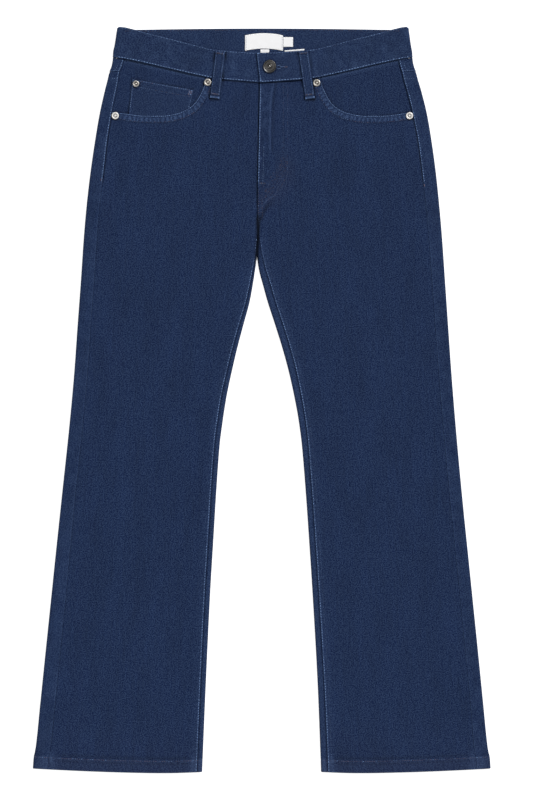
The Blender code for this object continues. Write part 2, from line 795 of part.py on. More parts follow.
def cut_buttonhole(band):
    """Cuts the eye and slit through the waistband's upper end only."""
    eye, half_slit, far_end = BUTTONHOLE
    x, y = BUTTON_PLACE
    start = math.asin(half_slit / eye)
    outline = [
        (x + eye * math.cos(turn), y + eye * math.sin(turn))
        for turn in np.linspace(start, 2 * math.pi - start, 15)
    ]
    outline += [(far_end, y - half_slit), (far_end, y + half_slit)]
    cutter = prism_object("buttonhole_cutter", outline, BAND_TOP + 0.15 * MM, BAND_TOP + 6 * MM, DENIM)
    cutter.hide_render = True
    cutter.display_type = "WIRE"
    cut = band.modifiers.new("buttonhole", "BOOLEAN")
    cut.operation = "DIFFERENCE"
    cut.object = cutter
    cut.solver = "EXACT"


def build():
    for obj in list(bpy.data.objects):
        bpy.data.objects.remove(obj)
    for side, name in ((-1, "right"), (1, "left")):
        wall_object(f"front_panel_{name}", front_panel(side), DENIM)
        wall_object(f"back_panel_{name}", back_panel(side), DENIM)
        wall_object(f"yoke_{name}", yoke(side), DENIM)
        wall_object(f"pocket_facing_{name}", pocket_facing(side), DENIM)
        outline = [((side * across + centre_line(850 * MM) / MM) * MM, high * MM) for across, high in BACK_POCKET]
        prism_object(f"back_pocket_{name}", outline, 0.0, THIN, DENIM_LIGHT)
    wall_object("coin_pocket", coin_pocket(), DENIM_LIGHT)
    wall_object("fly_shield", fly_shield(), DENIM)
    cut_buttonhole(wall_object("waistband", waistband(), DENIM_LIGHT))
    for name, *ends in FRONT_LOOPS:
        wall_object(name, front_loop(*ends), DENIM_LIGHT)
    for name, place in BACK_LOOPS:
        wall_object(name, back_loop(place), DENIM_LIGHT)
    wall_object("main_label", band_label(*LABEL, arch=LABEL_ARCH), LABEL_CLOTH)
    wall_object("size_tab", band_label(*SIZE_TAB), LABEL_CLOTH)
    wall_object("lower_tab", band_label(*LOWER_TAB), LABEL_CLOTH)
    wall_object("care_label", band_label(*CARE_LABEL, slope=CARE_SLOPE), LABEL_CLOTH)
    turned_object("button", BUTTON_PROFILE, BUTTON_PLACE, BAND_TOP + GAP, 28, GUNMETAL)
    for name, x, y, cloth in RIVETS:
        place = (x * MM, y * MM)
        level = seat_level(bpy.data.objects[cloth], place, RIVET_PROFILE[2][0] * MM) + GAP
        turned_object(name, RIVET_PROFILE, place, level, 16, NICKEL)


build()
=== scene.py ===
import math

import bmesh
import bpy
import numpy as np
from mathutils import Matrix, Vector, noise


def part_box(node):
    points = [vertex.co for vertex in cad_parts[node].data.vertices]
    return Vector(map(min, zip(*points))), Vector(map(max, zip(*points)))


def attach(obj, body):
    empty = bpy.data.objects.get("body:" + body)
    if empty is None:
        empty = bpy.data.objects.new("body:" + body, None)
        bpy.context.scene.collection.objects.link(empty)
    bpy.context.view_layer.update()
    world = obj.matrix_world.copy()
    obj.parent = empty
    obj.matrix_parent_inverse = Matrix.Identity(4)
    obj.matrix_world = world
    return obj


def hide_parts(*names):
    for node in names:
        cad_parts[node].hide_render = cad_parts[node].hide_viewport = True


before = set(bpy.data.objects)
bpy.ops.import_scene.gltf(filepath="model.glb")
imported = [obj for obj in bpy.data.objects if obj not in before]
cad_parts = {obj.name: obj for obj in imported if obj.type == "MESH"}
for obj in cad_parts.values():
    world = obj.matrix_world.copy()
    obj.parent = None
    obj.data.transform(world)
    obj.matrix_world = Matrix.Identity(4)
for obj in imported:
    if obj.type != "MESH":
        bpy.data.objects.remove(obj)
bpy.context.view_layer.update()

MM = 0.001

# The garment's sizes in mm, as in the part's source: across from the middle and up from the hem
HEM_LOW = -0.9
WAIST_CORNER_TOP = 1025.4
MIDDLE_HEIGHT = (HEM_LOW + WAIST_CORNER_TOP) / 2
MIDDLE = 2.4
CROTCH = 750.0
YOKE_SIDE = 964.0
YOKE_DROP = 58.0
WAIST_BACK = 983.2
WAIST_BACK_TOP = (1021.7, 1.6, 165.0)
HEM_DEPTH = 16.0
HEM_OUTER_RISE = 6.3
HEM_INNER_RISE = 1.6
WALL = 1.2
HEM_WALL = 2.2
BAND_WALL = 2.0
THIN = 1.0
TAPE = 0.5
GAP = 0.3
SEAM = 0.03
TOUCH = 0.015
BAND_TOP = 6.4
SEAT_LIFT = 1.3
COIN_BUMP = 1.3
FLY_BUMP = 1.5
BAND_BUMP = 2.3
UPPER = 888.0
OUTER = [  # height, right leg, left leg
    (-0.9, -314.6, 315.3), (16, -313.3, 314.0), (20, -312.3, 312.8), (30, -310.5, 311.1),
    (88, -304.6, 305.3), (187, -294.8, 295.8), (286, -284.7, 285.8), (385, -274.2, 275.7),
    (484, -263.7, 266.7), (550, -257.7, 261.4), (616, -253.0, 256.8), (671, -248.9, 253.0),
    (737, -244.4, 248.4), (781, -240.5, 244.6), (825, -235.4, 240.0), (869, -229.0, 234.0),
    (905, -222.9, 227.9), (938, -215.6, 219.8), (954, -211.5, 215.0), (964, -209.2, 212.5),
    (972, -206.2, 209.6), (981, -204.7, 208.0), (990, -204.2, 207.5), (1000, -202.2, 205.8),
    (1012, -200.4, 204.1), (1025.4, -198.4, 202.2),
]
INNER = [
    (-0.9, -81.6, 82.0), (121, -76.5, 77.2), (253, -70.2, 69.8), (319, -66.2, 65.5), (385, -62.2, 60.9),
    (451, -57.4, 55.4), (484, -53.2, 51.1), (517, -48.0, 45.1), (550, -41.1, 37.8), (583, -33.4, 28.9),
    (616, -24.7, 18.6), (649, -15.9, 7.9), (671, -11.9, 1.8), (687, -9.4, -2.6), (700, -7.6, -5.0),
    (712, -6.7, -6.1),
]
CENTRE = [  # height, place of the centre front
    (700, -6.4), (712, -6.4), (750, -5.0), (780, -5.6), (810, -5.2), (860, -4.1), (905, -3.3),
    (947, -2.4), (968, -4.4), (990, -7.0),
]
SIDE_WRAP = [  # height, how far the back comes round on to the front
    (0, 20.5, 19.5), (90, 20.5, 17.8), (251, 20.0, 17.4), (416, 18.5, 17.5), (750, 18.3, 18.6),
    (828, 18.2, 19.0), (870, 16.9, 18.8), (900, 16.6, 19.6), (943, 15.6, 19.8), (964, 14.0, 19.4),
    (983, 15.6, 19.0),
]
INNER_WRAP = [
    (0, 8.2, 10.4), (251, 8.0, 9.2), (416, 8.0, 9.2), (500, 8.0, 10.2), (602, 7.0, 11.6),
    (663, 5.2, 11.4), (700, 3.4, 9.6), (728, 1.4, 5.0), (750, 0.0, 0.0),
]
LEVELS = [  # height, fold's top, sag
    (0, 5.4, 0.0), (30, 5.3, 0.1), (90, 4.9, 0.9), (200, 4.8, 1.1), (300, 4.9, 0.9), (420, 4.9, 1.2),
    (540, 5.0, 0.9), (640, 5.2, 0.7), (720, 5.4, 0.2), (770, 5.6, 0.0), (1026, 5.6, 0.0),
]
BAND = [  # distance from the middle line, waistband's seam, its top
    (0, 948.4, 989.2), (30, 950.6, 990.8), (58, 953.0, 993.0), (72, 954.8, 994.8), (84, 957.3, 997.6),
    (98, 960.2, 1001.3), (125, 966.4, 1008.3), (152, 972.8, 1014.9), (180, 978.9, 1022.1),
    (193, 981.3, 1024.9), (206, 983.2, 1025.4),
]
MOUTH = [  # distance from the middle line, pocket mouth's height
    (78.0, 955.8), (80.0, 948.0), (86.6, 932.4), (93.4, 921.4), (102.2, 913.4), (116.6, 906.8),
    (139.7, 903.0), (161.2, 903.0), (195.2, 906.8), (209.0, 908.8),
]
MOUTH_TUCK = 14.0
FACING_END = 63.0
COIN = [(180.0, 953.6, 0.101), (95.9, 938.4, 0.219)]  # outer and inner top corner, and each side's lean
COIN_TUCK = 8.0
FLY_LAP = 18.0
FLY_END = (797.0, 813.0)
SHIELD = (-12.0, 30.0)
BAND_LAP = 32.0
LOOP_WIDTH = 13.0
LOOP_BOW = 0.6
FRONT_LOOPS = [
    ("belt_loop_front_right", -56.3, 991.2, -64.4, 926.8),
    ("belt_loop_front_left", 57.3, 991.6, 66.8, 926.2),
]
BACK_LOOPS = [
    ("belt_loop_back_right", -118.0), ("belt_loop_back_centre", 0.0), ("belt_loop_back_left", 118.0),
]
BACK_LOOP_SPAN = (926.0, 1021.0)
BACK_POCKET = [(32, 908), (30, 812), (88, 788), (150, 818), (160, 922)]
LABEL = (-22.6, 29.6, 992.6, 1013.8)
LABEL_ARCH = 3.0
SIZE_TAB = (30.0, 43.4, 998.0, 1011.4)
LOWER_TAB = (-1.4, 10.6, 978.0, 994.6)
CARE_LABEL = (31.8, 58.9, 976.0, 993.2)
CARE_SLOPE = 0.075
BUTTON_PLACE = (11.3, 970.3)
HOLE_PLACE = (BUTTON_PLACE[0] + 12.4, BUTTON_PLACE[1] - 0.9)
RIVETS = [
    f"rivet_{place}" for place in ("right_inner", "right_outer", "coin_pocket", "left_inner", "left_outer")
]
RIVET_SPOTS = [[(a + b) / 2 / MM for a, b in zip(*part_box(node))] for node in RIVETS]
SIDES = ((-1, "right"), (1, "left"))

# Sewing lines and creases at the fly, as places across and heights
FLY_SEWING = [
    (35.5, 946), (35.3, 900), (35.0, 860), (34.9, 841), (34.2, 821), (28.2, 809), (20.5, 799),
    (14.4, 791), (6.7, 786), (-0.6, 776), (-3.2, 766),
]
ZIP_RIDGE = [(17.6, 946), (15.2, 934), (13.6, 921), (12.8, 900), (12.6, 872), (12.6, 850)]
DRAG_FOLD = [(4.4, 783.5), (8.0, 786.6), (12.0, 789.4), (17.6, 792.6)]
DRAG_VALLEY = [(17.0, 788.0), (12.4, 783.6), (7.0, 777.0), (2.0, 768.5), (-0.8, 761.0)]


def smooth_curve(table, column):
    """A smooth curve through one column of a table that doesn't overshoot its rows."""
    at = np.array([row[0] for row in table], float)
    value = np.array([row[column] for row in table], float)
    step = np.diff(at)
    slope = np.diff(value) / step
    tangent = np.concatenate([slope[:1], np.zeros(len(slope) - 1), slope[-1:]])
    for i in range(1, len(slope)):
        if slope[i - 1] * slope[i] > 0:
            tangent[i] = 2 * slope[i - 1] * slope[i] / (slope[i - 1] + slope[i])

    def curve(place):
        place = np.clip(place, at[0], at[-1])
        k = np.clip(np.searchsorted(at, place) - 1, 0, len(step) - 1)
        t = (place - at[k]) / step[k]
        low = value[k] * (1 + 2 * t) * (1 - t) ** 2 + step[k] * tangent[k] * t * (1 - t) ** 2
        high = value[k + 1] * t**2 * (3 - 2 * t) - step[k] * tangent[k + 1] * t**2 * (1 - t)
        return low + high

    return curve


def both_legs(table):
    """One curve for each leg: side -1 is the wearer's right leg and side +1 the left."""
    return {-1: smooth_curve(table, 1), 1: smooth_curve(table, 2)}


outer_edge, inner_fold, side_wrap, inner_wrap = map(both_legs, (OUTER, INNER, SIDE_WRAP, INNER_WRAP))
centre_line = smooth_curve(CENTRE, 1)
fold_top = smooth_curve(LEVELS, 1)
sag_depth = smooth_curve(LEVELS, 2)
band_seam = smooth_curve(BAND, 1)
band_edge = smooth_curve(BAND, 2)
mouth_line = smooth_curve(MOUTH, 1)


def rise(value, start, end):
    """0 up to start, 1 past end, and a smooth step between them."""
    t = np.clip((value - start) / (end - start), 0, 1)
    return t * t * (3 - 2 * t)


def fall(value, start, end):
    """1 up to start, 0 past end, and a smooth step between them."""
    return 1 - rise(value, start, end)


def bell(value, middle, spread):
    """A smooth bump of height 1 round a place."""
    return np.exp(-(((value - middle) / spread) ** 2))


def inner_edge(side, height):
    """The leg's inner edge, which is the centre line where the two halves are joined."""
    centre, fold = centre_line(height), inner_fold[side](height)
    apart = (side * (fold - centre) > TOUCH) & (height < INNER[-1][0])
    below = np.where(apart, fold, centre + side * TOUCH)
    return np.where(height < CROTCH, below, centre + side * SEAM)


def side_seam(side, height):
    return outer_edge[side](height) - side * side_wrap[side](height)


def cloth_top(side, x, height):
    """The upper cloth's outer face, before anything under it lifts it."""
    inward = np.minimum(side * (outer_edge[side](height) - x), side * (x - inner_edge(side, height)))
    return fold_top(height) - sag_depth(height) * rise(inward, 3, 34)


def front_top(side, x, height):
    """The front panel's outer face, which rides over the coin pocket or the fly."""
    top = cloth_top(side, x, height)
    if side < 0:
        across = np.abs(x - MIDDLE)
        return top + COIN_BUMP * rise(across, 83, 97) * fall(across, 191, 201) * rise(height, 862, 886)
    return top + FLY_BUMP * fall(x - centre_line(height), 27, 50) * rise(height, 771, 795)


def floor_level(x, height):
    """The back's outer face, lifted where the back pockets and loops lie under it."""
    return SEAT_LIFT * rise(height, 752, 771) * fall(np.abs(x - centre_line(height)), 178, 200)


def hem_rise(side, x, height):
    """The hem's gentle curve: its outer corner lies higher than its middle."""
    outer, inner = outer_edge[side](height), inner_edge(side, height)
    share = (x - outer) / (inner - outer)
    curve = HEM_OUTER_RISE * np.clip(1 - share / 0.75, 0, 1) ** 1.6
    curve = curve + HEM_INNER_RISE * np.clip((share - 0.8) / 0.2, 0, 1) ** 1.5
    return curve * fall(height, 40, 260)


def wall_at(height):
    """The hem is turned up, so the cloth is thicker there."""
    return HEM_WALL + (WALL - HEM_WALL) * rise(height, HEM_DEPTH - 1, HEM_DEPTH + 2)


def parted(height):
    """1 where the legs are apart, 0 above the crotch, and a short soft change between."""
    return fall(height, CROTCH - 9, CROTCH + 5)


def round_inner_fold(side, along, height):
    """A point on the leg's skin by its distance from the middle of the inner fold, up or down."""
    radius = fold_top(height) / 2
    quarter = radius * math.pi / 2
    turn = np.clip(along / radius, -math.pi / 2, math.pi / 2)
    past = np.maximum(np.abs(along) - quarter, 0)
    x = inner_edge(side, height) + side * (radius * (1 - np.cos(turn)) + past)
    z = np.where(along > quarter, front_top(side, x, height), radius + radius * np.sin(turn))
    return x, z, -side * np.cos(turn), np.sin(turn)


def mixed(share, first, second):
    """A mixture of two points, with its direction made whole again."""
    x, z, normal_x, normal_z = (share * a + (1 - share) * b for a, b in zip(first, second))
    size = np.hypot(normal_x, normal_z)
    return x, z, normal_x / size, normal_z / size


def front_point(side, along, height):
    """A point on the front panel. Above the crotch it lies straight across from the centre line."""
    rolled = round_inner_fold(side, along, height)
    x = inner_edge(side, height) + side * along
    flat = (x, front_top(side, x, height), np.zeros_like(x), np.ones_like(x))
    return mixed(parted(height), rolled, flat)


def front_span(side, height):
    """Where the front panel starts and ends along the skin: at the inseam or fly, and the side seam."""
    lap = FLY_LAP * rise(height, *FLY_END) if side < 0 else 0.0 * height
    start = np.where(height < CROTCH, inner_wrap[side](height), -lap)
    turned = fold_top(height) / 2 * (math.pi / 2 - 1) * parted(height)
    width = side * (side_seam(side, height) - inner_edge(side, height))
    return start, width + turned - SEAM


def front_ceiling(x):
    """The front panel's top edge: the waistband seam, or the pocket mouth further out."""
    across = np.abs(x - MIDDLE)
    seam = band_seam(across) - GAP
    return np.where(across > MOUTH[0][0], np.minimum(mouth_line(across), seam), seam)


def back_point(side, zone, share, height):
    """A point on the back's skin, from the side seam round under the leg to the inseam."""
    outer, inner = outer_edge[side](height), inner_edge(side, height)
    radius = fold_top(height) / 2
    apart = parted(height)
    quarter = radius * math.pi / 2
    inner_turn = radius * apart + 3 * (1 - apart)
    zero, one = np.zeros_like(height), np.ones_like(height)
    if zone == "wrap":
        start = side_wrap[side](height) - SEAM
        x = outer - side * (start + (radius - start) * share)
        return x, cloth_top(side, x, height), zero, one
    if zone == "roll":
        turn = math.pi / 2 - math.pi * share
        x = outer - side * radius * (1 - math.cos(turn))
        return x, radius + radius * math.sin(turn), side * math.cos(turn) * one, math.sin(turn) * one
    if zone == "floor":
        start, end = outer - side * radius, inner + side * inner_turn
        x = start + (end - start) * share
        return x, floor_level(x, height), zero, -one
    end = inner_wrap[side](height) - 0.1
    rolled = round_inner_fold(side, -quarter + (end + quarter) * share, height)
    x = inner + side * inner_turn * (1 - share)
    return mixed(apart, rolled, (x, floor_level(x, height), zero, -one))


def yoke_seam(zone, share):
    """The yoke seam runs level round the side and falls to the centre back."""
    return YOKE_SIDE - YOKE_DROP * {"wrap": 0.0, "roll": 0.0, "floor": share, "tail": 1.0}[zone]


def band_top(side, across):
    """The front waistband's outer face, by distance from the middle line."""
    return BAND_TOP + (BAND_BUMP * fall(across, 38, 64) if side > 0 else 0 * across)


def back_top(x):
    level, arch, reach = WAIST_BACK_TOP
    return level + arch * np.clip(1 - (x / reach) ** 2, 0, 1)


# Painted shadows beside the pieces that stand on the cloth: 1 just outside them, 0 away from them
def loop_painted_shadow(x, height):
    shade = 0 * x
    for _, top_x, top_y, foot_x, foot_y in FRONT_LOOPS:
        across = np.abs(x - foot_x - (height - foot_y) * (top_x - foot_x) / (top_y - foot_y))
        on = rise(height, foot_y - 1.6, foot_y - 0.4) * fall(height, top_y - 1, top_y + 1)
        shade = np.maximum(shade, on * bell(across, 7.3, 1.3))
        shade = np.maximum(shade, fall(across, 6.2, 7.6) * bell(height, foot_y - 1.0, 1.3))
    return shade


def coin_painted_shadow(x, height):
    (outer_at, outer_high, lean), (inner_at, inner_high, _) = COIN
    across = MIDDLE - x
    slope = (outer_high - inner_high) / (outer_at - inner_at)
    over = height - (inner_high + slope * (across - inner_at))
    past = across - (outer_at + (outer_high - height) * lean)
    top = bell(over, 0.8, 1.1) * rise(across, inner_at - 1, inner_at + 1) * fall(past, 0, 2)
    return np.maximum(top, bell(past, 0.8, 1.1) * fall(over, 0, 2))


def metal_painted_shadow(x, height):
    shade = 0.9 * bell(np.hypot(x - BUTTON_PLACE[0] - 0.4, height - BUTTON_PLACE[1] + 0.4), 9.4, 1.0)
    for spot_x, spot_y, _ in RIVET_SPOTS:
        far = np.hypot(x - spot_x - 0.3, height - MIDDLE_HEIGHT - spot_y + 0.4)
        shade = np.maximum(shade, bell(far, 5.3, 0.9))
    return shade


class Line:
    """A sewn line or crease on the cloth: how far a point is from it, and where along it."""

    def __init__(self, points):
        self.points = np.array(points, float)
        self.step = np.diff(self.points, axis=0)
        self.length = np.hypot(*self.step.T)
        self.start = np.concatenate([[0], np.cumsum(self.length)])

    def near(self, x, y):
        """Distance, signed by the side of the line, and place along it."""
        shape = np.shape(x)
        x, y = np.ravel(x), np.ravel(y)
        best, place, sign = np.full(x.shape, 1e9), np.zeros(x.shape), np.ones(x.shape)
        for (ax, ay), (dx, dy), size, start in zip(self.points, self.step, self.length, self.start):
            t = np.clip(((x - ax) * dx + (y - ay) * dy) / size**2, 0, 1)
            off_x, off_y = x - ax - t * dx, y - ay - t * dy
            far = np.hypot(off_x, off_y)
            closer = far < best
            best = np.where(closer, far, best)
            place = np.where(closer, start + t * size, place)
            sign = np.where(closer, np.sign(dx * off_y - dy * off_x), sign)
        return (best * sign).reshape(shape), place.reshape(shape)

    def at(self, place):
        k = int(np.clip(np.searchsorted(self.start, place) - 1, 0, len(self.step) - 1))
        return self.points[k] + self.step[k] * (place - self.start[k]) / self.length[k]


def smooth_line(points):
    """A smooth line through a few points."""
    points = np.array(points, float)
    ends = np.concatenate([[2 * points[0] - points[1]], points, [2 * points[-1] - points[-2]]])
    made = []
    for a, b, c, d in zip(ends, ends[1:], ends[2:], ends[3:]):
        for t in np.arange(6) / 6:
            bend = (2 * a - 5 * b + 4 * c - d) * t**2 + (3 * b - a - 3 * c + d) * t**3
            made.append(0.5 * (2 * b + (c - a) * t + bend))
    return Line(made + [points[-1]])


fly_sewing, zip_ridge = smooth_line(FLY_SEWING), smooth_line(ZIP_RIDGE)
drag_fold, drag_valley = smooth_line(DRAG_FOLD), smooth_line(DRAG_VALLEY)
mouth_at = np.linspace(MOUTH[0][0], 208, 90)
pocket_mouth = {
    side: Line(np.stack([MIDDLE + side * mouth_at, mouth_line(mouth_at)], axis=1)) for side, _ in SIDES
}


def pucker(place, period, seed):
    """Small uneven waves along a seam."""
    turn = place / period
    drift = 1.4 * np.sin(turn * 1.9 + seed * 2.3) + 0.9 * np.sin(turn * 0.83 + seed * 5.1)
    strength = 0.65 + 0.35 * np.sin(turn * 1.13 + seed * 3.7)
    return strength * np.sin(2 * math.pi * turn + drift)


def soft_waves(x, y, size, seed):
    """Broad soft noise, from about -1 to 1."""
    flat = np.stack([np.ravel(x) / size, np.ravel(y) / size], axis=1)
    values = [noise.noise(Vector((a, b, seed))) for a, b in flat]
    return np.array(values).reshape(np.shape(x)) * 1.6


def hem_tan(height):
    """The hems are a little browner than the rest."""
    return 0.055 * fall(height, 14, 19) + 0.02 * fall(height, 15, 90)


def crotch_painted_shade(x, height):
    """Painted shade in the dark hollow where the legs are pressed together."""
    shown = rise(height, 690, 706) * fall(height, 756, 774)
    return 1.25 * shown * bell(x - centre_line(height), 0.4, 2.7)


def hem_wear_and_shade(height, band, slant, crossing, puffed, base):
    """Paleness of a hem: worn at its seams and edges, with painted shade beside its sewing."""
    wear_and_painted_light = band * (0.03 * slant + puffed * crossing - base) + 0.06 * bell(height, HEM_DEPTH, 1.0)
    # Painted shade beside the hem's sewing, less where seams cross it
    return wear_and_painted_light - 0.26 * bell(height, HEM_DEPTH + 3.4, 2.2) * (1 - crossing)


def hem_band(height):
    return fall(height, HEM_DEPTH - 0.8, HEM_DEPTH + 0.6)


def side_sewn(height):
    """1 where the side seam is sewn down, near the pockets."""
    return rise(height, 806, 818)


def front_relief(side, x, height, from_seam, from_side):
    """What the sewing and wear do to the front panel, with painted shade and highlights: the surface's
    height, paleness and puffs.
    """
    seed = side * 1.7 + 4
    legs = parted(height)
    # Inseam: a rolled edge, a stitched ridge and puckers
    ridge = bell(from_seam, 1.8, 0.9) * legs
    waves = pucker(height, 6.1, seed) * rise(from_seam, 0.5, 2.5) * fall(from_seam, 5, 13) * legs
    relief = 0.14 * ridge + 0.09 * waves - 0.2 * bell(from_seam, 0, 0.9) * legs
    wear_and_painted_light = 0.2 * ridge + 0.05 * waves
    # A little wear beside the inseam, and painted shade in its groove
    wear_and_painted_light += legs * (0.03 * fall(from_seam, 4, 15) - 0.4 * bell(from_seam, 0, 0.8))
    # Side seam: the back's edge stands over the front, with painted shadow on the front beside it
    sewn = side_sewn(height)
    waves = pucker(height, 7.3, seed + 1) * fall(from_side, 3, 12)
    relief += 0.06 * waves - (0.12 + 0.25 * sewn) * fall(from_side, 0.4, 2.2)
    wear_and_painted_light += 0.03 * waves - (0.06 + 0.8 * sewn) * bell(from_side, 0.2, 1.1)
    # Hem: a turned-up band below its sewing
    band = hem_band(height)
    hem_puffs = band * rise(height, 1.5, 5)
    slant = pucker(x + 0.55 * height, 9.5, seed + 2)
    relief += 0.26 * band - 0.15 * bell(height, HEM_DEPTH - 0.3, 1.0) + 0.1 * slant * hem_puffs
    crossing = np.maximum(bell(from_seam, 6, 6), bell(from_side, 3, 8))
    wear_and_painted_light += hem_wear_and_shade(height, band, slant, crossing, 0.12, 0.02)
    wear_and_painted_light += 0.1 * crossing * bell(height, HEM_DEPTH + 3, 4)
    wear_and_painted_light += 0.12 * bell(height, HEM_LOW, 1.6) - 0.25 * bell(height, HEM_DEPTH - 4.2, 1.2) * (1 - crossing)
    # Pocket mouth: a bound edge, two rows of sewing and puffs between them
    far, place = pocket_mouth[side].near(x, height)
    far = np.abs(far)
    open_part = rise(np.abs(x - MIDDLE), 76, 79)
    puffs = 0.5 + 0.5 * pucker(place, 5.4, seed + 3)
    between = rise(far, 2.2, 3.4) * fall(far, 7.4, 8.8)
    grooves = 0.12 * bell(far, 2.4, 0.6) + 0.12 * bell(far, 8.8, 0.8)
    relief += open_part * (0.2 * bell(far, 1.0, 0.8) - grooves + 0.2 * puffs * between)
    relief += 0.05 * puffs * rise(far, 9, 10) * fall(far, 11, 16)
    # Wear along the bound edge, and painted shade just outside the outer row
    wear_and_painted_light += open_part * (0.22 * bell(far, 0.9, 0.8) + 0.02 * between - 0.3 * bell(far, 10.2, 0.9))
    cycles = np.where(height < 60, (x + 0.55 * height) / 6.5, place / 5.6)
    swell = open_part * 0.26 * between + 0.05 * hem_puffs
    # Just under the waistband the cloth turns down into its seam, with painted shadow under the band
    below = band_seam(np.abs(x - MIDDLE)) - height
    fan = pucker(x * (1 + 3 * MM * below), 4.7, seed + 6) * bell(below, 3.5, 4)
    relief += 0.05 * fan - 0.3 * fall(below, 0.3, 2.4)
    wear_and_painted_light += 0.04 * fan - 0.85 * bell(below, 0.2, 1.5)
    if side > 0:
        # Fly: its edge, the ridge of the zip under it, its sewing and the drag at its foot
        fly_part = rise(height, 800, 812)
        mottle = soft_waves(x, height * 0.8, 7, 2.2)
        on_fly = fly_part * fall(from_seam, 12, 20)
        relief += fly_part * 0.16 * bell(from_seam, 1.2, 0.8) + 0.1 * mottle * on_fly
        wear_and_painted_light += fly_part * 0.34 * bell(from_seam, 0.9, 0.9)
        wear_and_painted_light += on_fly * (0.12 * np.clip(mottle, -0.5, 1) - 0.02)
        far, _ = zip_ridge.near(x, height)
        shown = rise(height, 846, 862)
        relief += shown * (0.35 * fall(far, -2.2, 2.2) * fall(height, 936, 948) + 0.4 * bell(far, -0.6, 1.8))
        wear_and_painted_light += shown * (0.2 * bell(far, -0.8, 1.3) - 0.34 * bell(far, 2.4, 1.8))
        far, place = fly_sewing.near(x, height)
        far = np.abs(far)
        relief += 0.06 * pucker(place, 6.3, seed + 5) * bell(far, 4, 4) - 0.07 * bell(far, 0, 1.6)
        # A painted highlight along the drag fold's crest
        far, _ = drag_fold.near(x, height)
        relief += 0.5 * bell(far, 0, 2.4)
        wear_and_painted_light += 0.16 * bell(far, 0, 1.2)
        # Painted shade in the drag valley, and along the centre seam between the crotch and the fly
        far, place = drag_valley.near(x, height)
        deep = rise(place, 0, 17)
        relief -= 0.6 * deep * bell(far, 0, 3.0)
        wear_and_painted_light -= 0.6 * deep * bell(far, 0, 2.8) + 0.4 * bell(from_seam, 0, 1.2) * (1 - fly_part) * (1 - legs)
    else:
        # The right front lies deeper beside the fly's edge, with painted shade there and along the centre
        # seam above the crotch
        beside = centre_line(height) - x
        shade = rise(height, 756, 800)
        streaks = pucker(x * 0.9 + height * 0.1, 5.2, 1.3) * bell(beside, 12, 10)
        relief += 0.07 * streaks * bell(below, 8, 9) - 0.3 * shade * fall(beside, 0.5, 4)
        wear_and_painted_light -= 0.8 * shade * bell(beside, -0.4, 1.7) + 0.45 * (1 - legs) * bell(beside, 0, 1.2)
    # Painted shadows beside the belt loops, button and rivets, and painted shade in the crotch hollow
    wear_and_painted_light -= 0.95 * loop_painted_shadow(x, height) + 0.8 * metal_painted_shadow(x, height) + crotch_painted_shade(x, height)
    # Broad waves of cloth that has been worn and laid out by hand
    calm = 1 - 0.75 * rise(height, 880, 915)
    calm = calm * (0.4 + 0.6 * rise(from_seam, 4, 30)) * (0.4 + 0.6 * rise(from_side, 4, 30))
    calm = calm * (0.3 + 0.7 * rise(height, 12, 50))
    waves = 0.26 * soft_waves(x, height * 0.45, 34, 3.1 + side)
    waves = waves + 0.12 * soft_waves(x, height * 0.3, 13, 9.3 + side)
    return relief + waves * calm, wear_and_painted_light, cycles, swell


def back_relief(side, x, height, from_seam, from_side, on_top):
    """The same for the back panel, whose edges show on top."""
    seed = side * 2.9 + 7
    legs = parted(height)
    sewn = side_sewn(height)
    waves = pucker(height, 7.3, side * 1.7 + 5) * fall(from_side, 2, 10)
    relief = 0.06 * waves + (0.05 + 0.25 * sewn) * fall(from_side, 3, 9)
    relief += 0.12 * sewn * bell(from_side, 1.2, 0.9)
    # A worn edge at the side seam, and painted shade in the crotch hollow
    wear_and_painted_light = 0.03 * waves + (0.06 + 0.12 * sewn) * bell(from_side, 0.9, 0.9) - crotch_painted_shade(x, height)
    spots = soft_waves(x, height, 12, 6.4 + side)
    wear_and_painted_light += on_top * (0.025 + 0.035 * spots) * fall(from_side, 14, 24)
    strip = fall(from_seam, 6, 12)
    relief += legs * (0.07 * pucker(height, 8.7, seed + 1) * strip - 0.15 * bell(from_seam, 0, 0.9))
    # Painted shade in the inseam's groove
    wear_and_painted_light += legs * (0.06 * strip - 0.35 * bell(from_seam, 0, 0.9))
    band = hem_band(height)
    groove = bell(height, HEM_DEPTH - 0.3, 1.0)
    relief += on_top * (0.26 * band - 0.15 * groove) - (1 - on_top) * 0.2 * groove
    slant = pucker(x - 0.55 * height, 9.5, seed + 2)
    crossing = np.maximum(bell(from_seam, 5, 7), bell(from_side, 3, 12))
    return relief, wear_and_painted_light + hem_wear_and_shade(height, band, slant, crossing, 0.11, 0.01)


def arc_lengths(x, y):
    """How far each point of a grid's rows is along its row."""
    steps = np.hypot(np.diff(x, axis=1), np.diff(y, axis=1))
    return np.concatenate([np.zeros((x.shape[0], 1)), np.cumsum(steps, axis=1)], axis=1)


